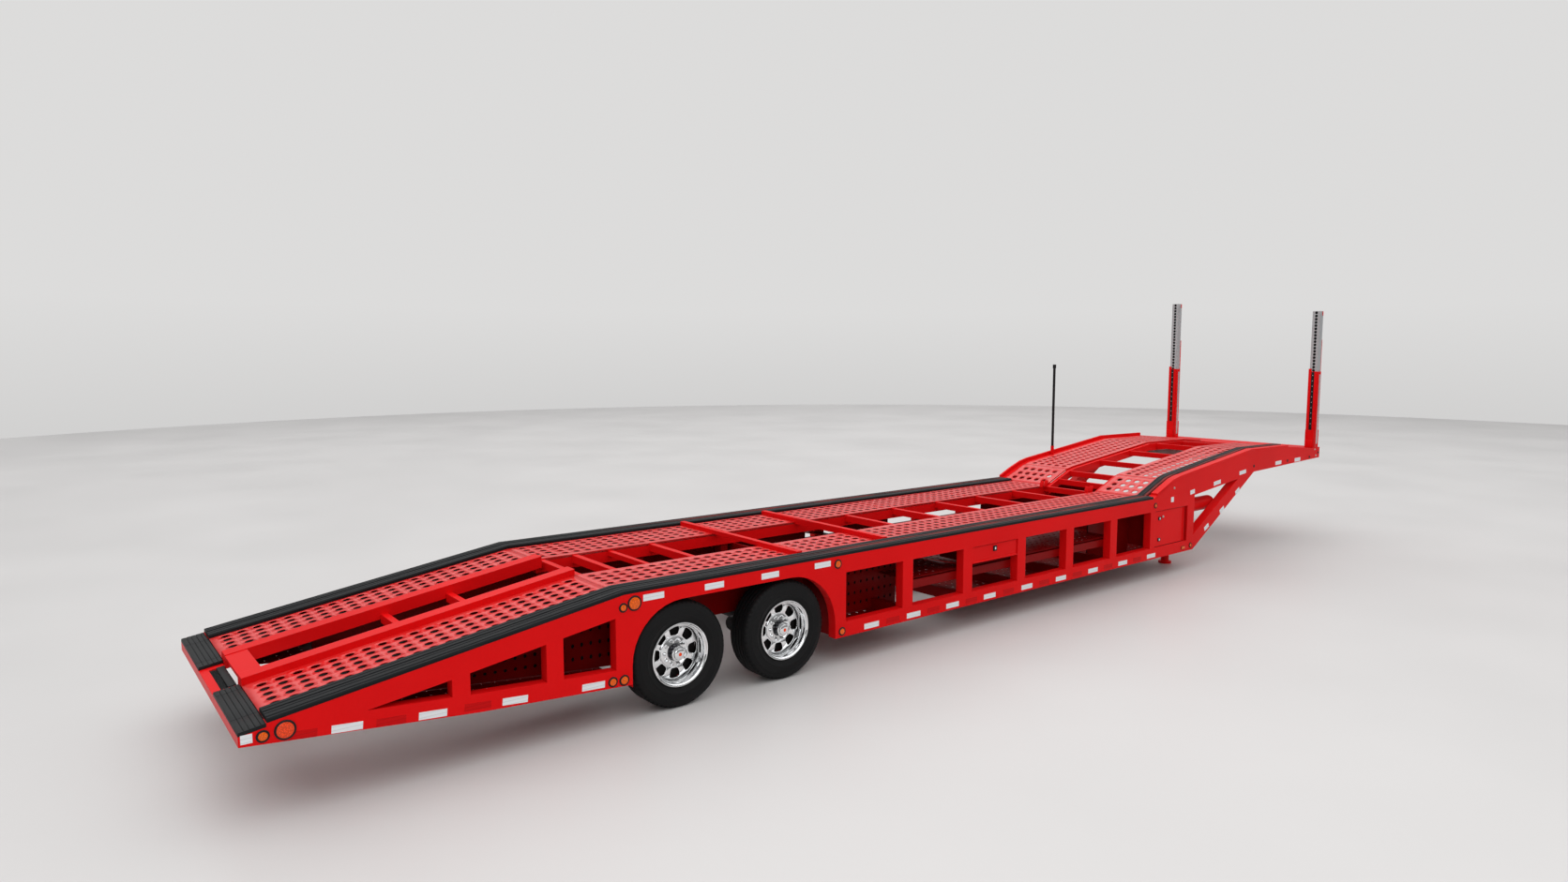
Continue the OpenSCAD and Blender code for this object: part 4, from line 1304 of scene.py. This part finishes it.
class BuildLamps(bpy.types.Operator):
    """Builds the marker and tail lamps in their rubber bezels"""

    bl_idname = "trailer.build_lamps"
    bl_label = "Lamps"

    def execute(self, context):
        lenses, reds, bezels = bmesh.new(), bmesh.new(), bmesh.new()
        tail_low, tail_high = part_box("tail_lamps")
        rear_z = (tail_low.z + tail_high.z) / 2
        arch_rear = from_rear(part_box("tyre_rear_right")[0].x) - 0.023
        arch_front = from_rear(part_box("tyre_front_right")[1].x) + 0.127
        markers = (
            (0.143, rear_z - 0.010, 0.030), (arch_rear - 0.185, BELLY_Z + 0.109, 0.031),
            (arch_rear - 0.080, BELLY_Z + 0.101, 0.034), (arch_front + 0.028, DECK_Z - 0.076, 0.034),
            (arch_front + 0.086, BELLY_Z + 0.061, 0.031), (SLOPE + 0.055, DECK_Z - 0.091, 0.026),
            (BELLY_END - 0.070, BELLY_Z + 0.066, 0.026), (KNEE - 0.010, DECK_Z - 0.105, 0.028),
            (KNEE + 0.096, DECK_Z - 0.084, 0.053),
        )
        for sign in SIDES.values():
            for x, z, radius in markers:
                self.round_lamp(lenses, bezels, x, z, sign, radius)
            self.round_lamp(reds, bezels, 0.276, rear_z, sign, 0.056)
            self.flat_lamp(lenses, bezels, sign)
        new_piece("marker_lenses", lenses, TRAILER, "amber", ["marker_lamps"])
        new_piece("tail_lenses", reds, TRAILER, "red lens", ["tail_lamps"])
        new_piece("lamp_bezels", bezels, TRAILER, "bezel")
        return {"FINISHED"}

    def round_lamp(self, lenses, bezels, x, z, sign, radius):
        """A stepped dome in a rubber ring."""
        middle, out = Vector((along(x), sign * SIDE_Y, z)), Y_AXIS * sign
        ring = [
            (radius + 0.012, -0.001), (radius + 0.0115, 0.005), (radius + 0.007, 0.0090),
            (radius + 0.0005, 0.0090), (radius - 0.003, 0.005), (radius - 0.003, -0.001),
        ]
        add_turned(bezels, ring, middle, out, 40, closed=True)
        dome = [
            (radius, 0.002), (radius - 0.001, 0.0062), (radius * 0.86, 0.0088), (radius * 0.84, 0.0082),
            (radius * 0.60, 0.0102), (radius * 0.58, 0.0096), (radius * 0.30, 0.0112), (0.0, 0.0116),
        ]
        add_turned(lenses, dome, middle, out, 40)

    def flat_lamp(self, lenses, bezels, sign):
        """The oblong lamp at the belly's front corner."""
        x0, x1 = along(BELLY_END - 0.310), along(BELLY_END - 0.230)
        z0, z1 = BELLY_Z + 0.039, BELLY_Z + 0.075
        rim = 0.004
        add_block(
            bezels, (x0 - rim, sign * (SIDE_Y - 0.001), z0 - rim),
            (x1 + rim, sign * (SIDE_Y + 0.006), z1 + rim), 0.002,
        )
        add_block(
            lenses, (x0, sign * (SIDE_Y + 0.004), z0), (x1, sign * (SIDE_Y + 0.010), z1), 0.003, 3
        )


class BuildTape(bpy.types.Operator):
    """Builds the white and red reflective tape along both sides"""

    bl_idname = "trailer.build_tape"
    bl_label = "Reflective tape"

    def execute(self, context):
        white, red = bmesh.new(), bmesh.new()
        long, neck, strut = (0.203, 0.056), (0.200, 0.058), (0.130, 0.062)
        fall = math.atan2(-0.080, 1.0)
        ramp = ((0.658, 0.522), (1.239, 0.472), (1.860, 0.431))
        belly_x = (5.615, 6.222, 6.828, 7.450, 8.121, 8.782, 9.450, 10.114, 10.791)
        belly_z = BELLY_Z + 0.051
        over_wheels = ((3.090, 0.056), (3.705, 0.062), (4.325, 0.062), (4.961, 0.056))
        whites = [(0.048, 0.596, (0.070, 0.062), 0.0)]
        whites += [(x, z, long, fall) for x, z in ramp]
        whites += [(2.520, 0.393, long, math.atan2(-0.055, 1.0))]
        whites += [(x, belly_z, long, 0.0) for x in belly_x]
        whites += [(x, DECK_Z - down, long, 0.0) for x, down in over_wheels]
        whites += [
            (12.491, 1.170, neck, 0.11), (13.242, 1.262, neck, 0.09), (14.387, 1.319, neck, 0.025),
            (15.050, 1.322, neck, 0.02), (11.281, 1.044, (0.070, 0.070), 0.0),
            (11.807, 1.101, (0.120, 0.060), 0.12), (12.235, 0.553, strut, 0.47),
            (12.660, 0.757, strut, 0.47), (13.103, 0.992, strut, 0.47),
        ]
        reds = [(x - 0.290, z + 0.024, long, fall) for x, z in ramp]
        reds += [((x0 + x1) / 2, belly_z, (0.190, 0.056), 0.0) for x0, x1 in zip(belly_x, belly_x[1:])]
        for sign in SIDES.values():
            for bm, pieces in ((white, whites), (red, reds)):
                for x, z, size, tilt in pieces:
                    self.strip(bm, x, z, sign, size, tilt)
        new_piece("white_tape", white, TRAILER, "white tape")
        new_piece("red_tape", red, TRAILER, "red tape")
        return {"FINISHED"}

    def strip(self, bm, x, z, sign, size, tilt):
        """One piece of tape about a point of the side."""
        wide, high = size
        turn = Matrix.Translation((along(x), 0, z)) @ Matrix.Rotation(-tilt, 4, "Y")
        add_block(
            bm, (-wide / 2, sign * (SIDE_Y - 0.0004), -high / 2),
            (wide / 2, sign * (SIDE_Y + 0.0012), high / 2), 0.0004, 1, turn,
        )


class BuildPosts(bpy.types.Operator):
    """Builds the slotted sleeves and the pierced inner posts"""

    bl_idname = "trailer.build_posts"
    bl_label = "Head posts"

    def execute(self, context):
        for side in SIDES:
            low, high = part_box(f"inner_post_{side}")
            x, y, half = (low.x + high.x) / 2, (low.y + high.y) / 2, (high.x - low.x) / 2
            self.inner(side, x, y, half, low.z, high.z)
            self.core(side, x, y, half, low.z, high.z)
            self.sleeve(side, x, y)
        return {"FINISHED"}

    def sleeve(self, side, x, y):
        """Corner angles, a locking rack and guide strips on a fixed sleeve."""
        low = deck_height(LENGTH) + CAD_LOW.z
        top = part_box("post_sleeves")[1].z - 0.520
        out = 0.068
        rear, front = x - out, x + out
        red, rack, guide = bmesh.new(), bmesh.new(), bmesh.new()
        for across in (-1, 1):
            mid, near, far = y + across * 0.046, y + across * out, y + across * (out + 0.004)
            rise = top + (0.045 if across > 0 else 0.0)
            add_block(red, (rear - 0.010, mid - 0.022, low + 0.002), (rear, mid + 0.022, rise), 0.002)
            add_block(guide, (x + 0.002, near, low + 0.060), (x + 0.044, far, top - 0.050), 0.001)
            add_block(red, (x - 0.062, near, low + 0.002), (x - 0.004, far, top), 0.001)
        add_block(
            red, (front - 0.002, y - 0.046, low + 0.002), (front + 0.038, y + 0.046, top + 0.518), 0.003
        )
        for height, reach in ((0.290, 0.020), (0.130, 0.034)):
            for way in (-1, 1):
                near, far = x + way * out, x + way * (out + reach)
                add_block(red, (near, y - 0.060, low + 0.001), (far, y + 0.060, low + height), 0.006)
        self.rack(rack, guide, rear, y, low, top)
        new_piece(f"sleeve_angles_{side}", red, TRAILER, "frame")
        new_piece(f"sleeve_rack_{side}", rack, TRAILER, "satin")
        new_piece(f"sleeve_guides_{side}", guide, TRAILER, "silver")

    def rack(self, rack, guide, rear, y, low, top, pitch=0.044):
        """A ladder of teeth on the sleeve's rear face, with a stud in every second gap."""
        add_block(rack, (rear - 0.004, y - 0.026, low + 0.010), (rear, y + 0.026, top - 0.010), 0.001)
        for i in range(int((top - low - 0.36) / pitch)):
            z = low + 0.32 + i * pitch
            add_block(
                rack, (rear - 0.009, y - 0.017, z), (rear - 0.003, y + 0.017, z + 0.011), 0.0015, 1
            )
            if i % 2:
                add_rod(guide, (rear - 0.004, y, z + 0.027), (rear - 0.008, y, z + 0.027), 0.007, 12)

    def inner(self, side, x, y, half, low, high):
        """A square tube whose rear face has a row of pin slots."""
        bm = bmesh.new()
        count = round((high - low) / 0.052)
        step = (high - low) / count
        cell = add_cell(bm, step, 2 * half, 0.046, 0.046, sides=12)
        turn = Matrix.Rotation(math.pi / 2, 3, "Y")
        bmesh.ops.rotate(bm, cent=(0, 0, 0), matrix=turn, verts=verts_in(cell))
        bmesh.ops.translate(bm, vec=(x - half, y, low + step / 2), verts=verts_in(cell))
        repeat(bm, cell, count, (0, 0, step))
        bmesh.ops.remove_doubles(bm, verts=list(bm.verts), dist=TOUCH)
        for limit in (y - half, y + half):
            made = bmesh.ops.extrude_edge_only(bm, edges=border_at(bm, 1, limit))["geom"]
            bmesh.ops.translate(bm, vec=(2 * half, 0, 0), verts=verts_in(made))
        ends = [
            edge for edge in border_at(bm, 0, x + half)
            if abs(edge.verts[0].co.z - edge.verts[1].co.z) > 1e-4
        ]
        bmesh.ops.bridge_loops(bm, edges=ends)
        rear = [face for face in bm.faces if face.calc_center_median().x < x - half + 1e-4]
        face_towards(bm, -X_AXIS, rear)
        body = f"inner_post_{side}"
        piece = new_piece(
            f"pinned_post_{side}", bm, body, "silver", [body], smooth=0,
            recalculate=False,
        )
        thicken(piece, 0.006)

    def core(self, side, x, y, half, low, high):
        """A cap and a dark bar of painted shade inside the tube, behind its slots, and a red patch at its
        tip.
        """
        body = f"inner_post_{side}"
        cap, inset = bmesh.new(), half - 0.001
        add_block(cap, (x - inset, y - inset, high - 0.008), (x + inset, y + inset, high), 0.002)
        add_block(
            cap, (x - half + 0.012, y - 0.024, low + 0.010), (x + 0.012, y + 0.024, high - 0.008)
        )
        new_piece(f"post_core_{side}", cap, body, "satin")
        tip = bmesh.new()
        add_block(
            tip, (x + half - 0.030, y - half - 0.003, high - 0.070),
            (x + half - 0.002, y - half, high - 0.004), 0.001,
        )
        new_piece(f"post_tip_{side}", tip, body, "frame")


ROOM_MIDDLE = (6.0, 4.0, 0)
ROOM_SIDES = 160


class BuildStage(bpy.types.Operator):
    """Builds the floor, the wall, the lights and the camera"""

    bl_idname = "trailer.build_stage"
    bl_label = "Stage"

    def execute(self, context):
        scene = context.scene
        radius = scene.trailer_stage.radius
        self.floor(scene, radius)
        self.wall(scene, radius)
        self.world(scene)
        self.light(
            scene, "Ceiling", place=(7.0, 7.0, 14.0), target=(7.0, 7.0, 0), size=56.0, power=6700
        )
        self.light(
            scene, "Near side", place=(-10.0, -14.0, 6.0), target=(0, 0, 0.5), size=8.0, power=330
        )
        self.camera(scene)
        scene.view_settings.view_transform = "Standard"
        return {"FINISHED"}

    def set_up(self, scene, name, bm, material, hidden_from=()):
        """Stands a part of the studio about the middle of the floor."""
        mesh = bpy.data.meshes.new(name)
        bm.to_mesh(mesh)
        bm.free()
        mesh.materials.append(finish(material))
        part = bpy.data.objects.new(name, mesh)
        part.location = ROOM_MIDDLE
        for ray in hidden_from:
            setattr(part, f"visible_{ray}", False)
        scene.collection.objects.link(part)

    def floor(self, scene, radius):
        """A round floor."""
        bm = bmesh.new()
        bmesh.ops.create_circle(
            bm, cap_ends=True, cap_tris=False, segments=ROOM_SIDES, radius=radius
        )
        self.set_up(scene, "studio_floor", bm, "floor")

    def wall(self, scene, radius, tall=40.0):
        """A pale wall round the floor, which throws no light on the trailer."""
        bm = bmesh.new()
        bmesh.ops.create_cone(
            bm, cap_ends=False, segments=ROOM_SIDES, radius1=radius, radius2=radius, depth=tall,
            matrix=Matrix.Translation((0, 0, tall / 2)),
        )
        bmesh.ops.reverse_faces(bm, faces=list(bm.faces))
        rays = ("diffuse", "glossy", "transmission", "shadow")
        self.set_up(scene, "studio_wall", bm, "wall", rays)

    def world(self, scene):
        """Light that grows from the horizon up."""
        world = bpy.data.worlds.new("Studio")
        scene.world = world
        world.use_nodes = True
        tree = world.node_tree
        place = add_node(tree, "ShaderNodeTexCoord").outputs["Generated"]
        rise = ranged(tree, axes_of(tree, place)["Z"], 0.05, 0.80, 0.16, 0.85)
        set_inputs(tree.nodes["Background"], {"Color": rise})

    def light(self, scene, name, place, target, size, power):
        """A square lamp that looks at a point."""
        data = bpy.data.lights.new(name, "AREA")
        data.size = size
        data.energy = power
        lamp = bpy.data.objects.new(name, data)
        lamp.location = place
        aim = Vector(target) - Vector(place)
        lamp.rotation_euler = aim.to_track_quat("-Z", "Y").to_euler()
        scene.collection.objects.link(lamp)

    def camera(self, scene):
        """The camera, behind the right rear corner and a little above the deck."""
        data = bpy.data.cameras.new("Camera")
        data.lens = 22.12
        data.sensor_width = 36.0
        data.clip_end = 400.0
        camera = bpy.data.objects.new("Camera", data)
        camera.location = (-8.920, -8.135, 3.108)
        camera.rotation_euler = (math.radians(84.468), 0.0, math.radians(-38.704))
        scene.collection.objects.link(camera)
        scene.camera = camera


OPERATORS = (
    PaintChassis,
    BuildRunways,
    BuildStrips,
    BuildWearPlates,
    BuildWheels,
    BuildInside,
    BuildTrim,
    BuildLamps,
    BuildTape,
    BuildPosts,
    BuildStage,
)


class TrailerPanel(bpy.types.Panel):
    """Lists the settings and the pieces of the trailer"""

    bl_idname = "VIEW3D_PT_trailer"
    bl_label = "Car Transporter Trailer"
    bl_space_type = "VIEW_3D"
    bl_region_type = "UI"
    bl_category = "Trailer"

    def draw(self, context):
        for name, settings in SETTINGS.items():
            box = self.layout.box()
            for prop in settings.__annotations__:
                box.prop(getattr(context.scene, name), prop)
        for operator in OPERATORS:
            self.layout.operator(operator.bl_idname)


def register():
    """Registers the settings, the operators and the panel."""
    for settings in SETTINGS.values():
        bpy.utils.register_class(settings)
    for name, settings in SETTINGS.items():
        setattr(bpy.types.Scene, name, PointerProperty(type=settings))
    for operator in OPERATORS:
        bpy.utils.register_class(operator)
    bpy.utils.register_class(TrailerPanel)


def unregister():
    """Takes away what register added, in the opposite order."""
    bpy.utils.unregister_class(TrailerPanel)
    for operator in reversed(OPERATORS):
        bpy.utils.unregister_class(operator)
    for name, settings in SETTINGS.items():
        delattr(bpy.types.Scene, name)
        bpy.utils.unregister_class(settings)


def main():
    """Builds every piece in order."""
    register()
    for operator in OPERATORS:
        family, name = operator.bl_idname.split(".")
        getattr(getattr(bpy.ops, family), name)()


if __name__ == "__main__":
    main()
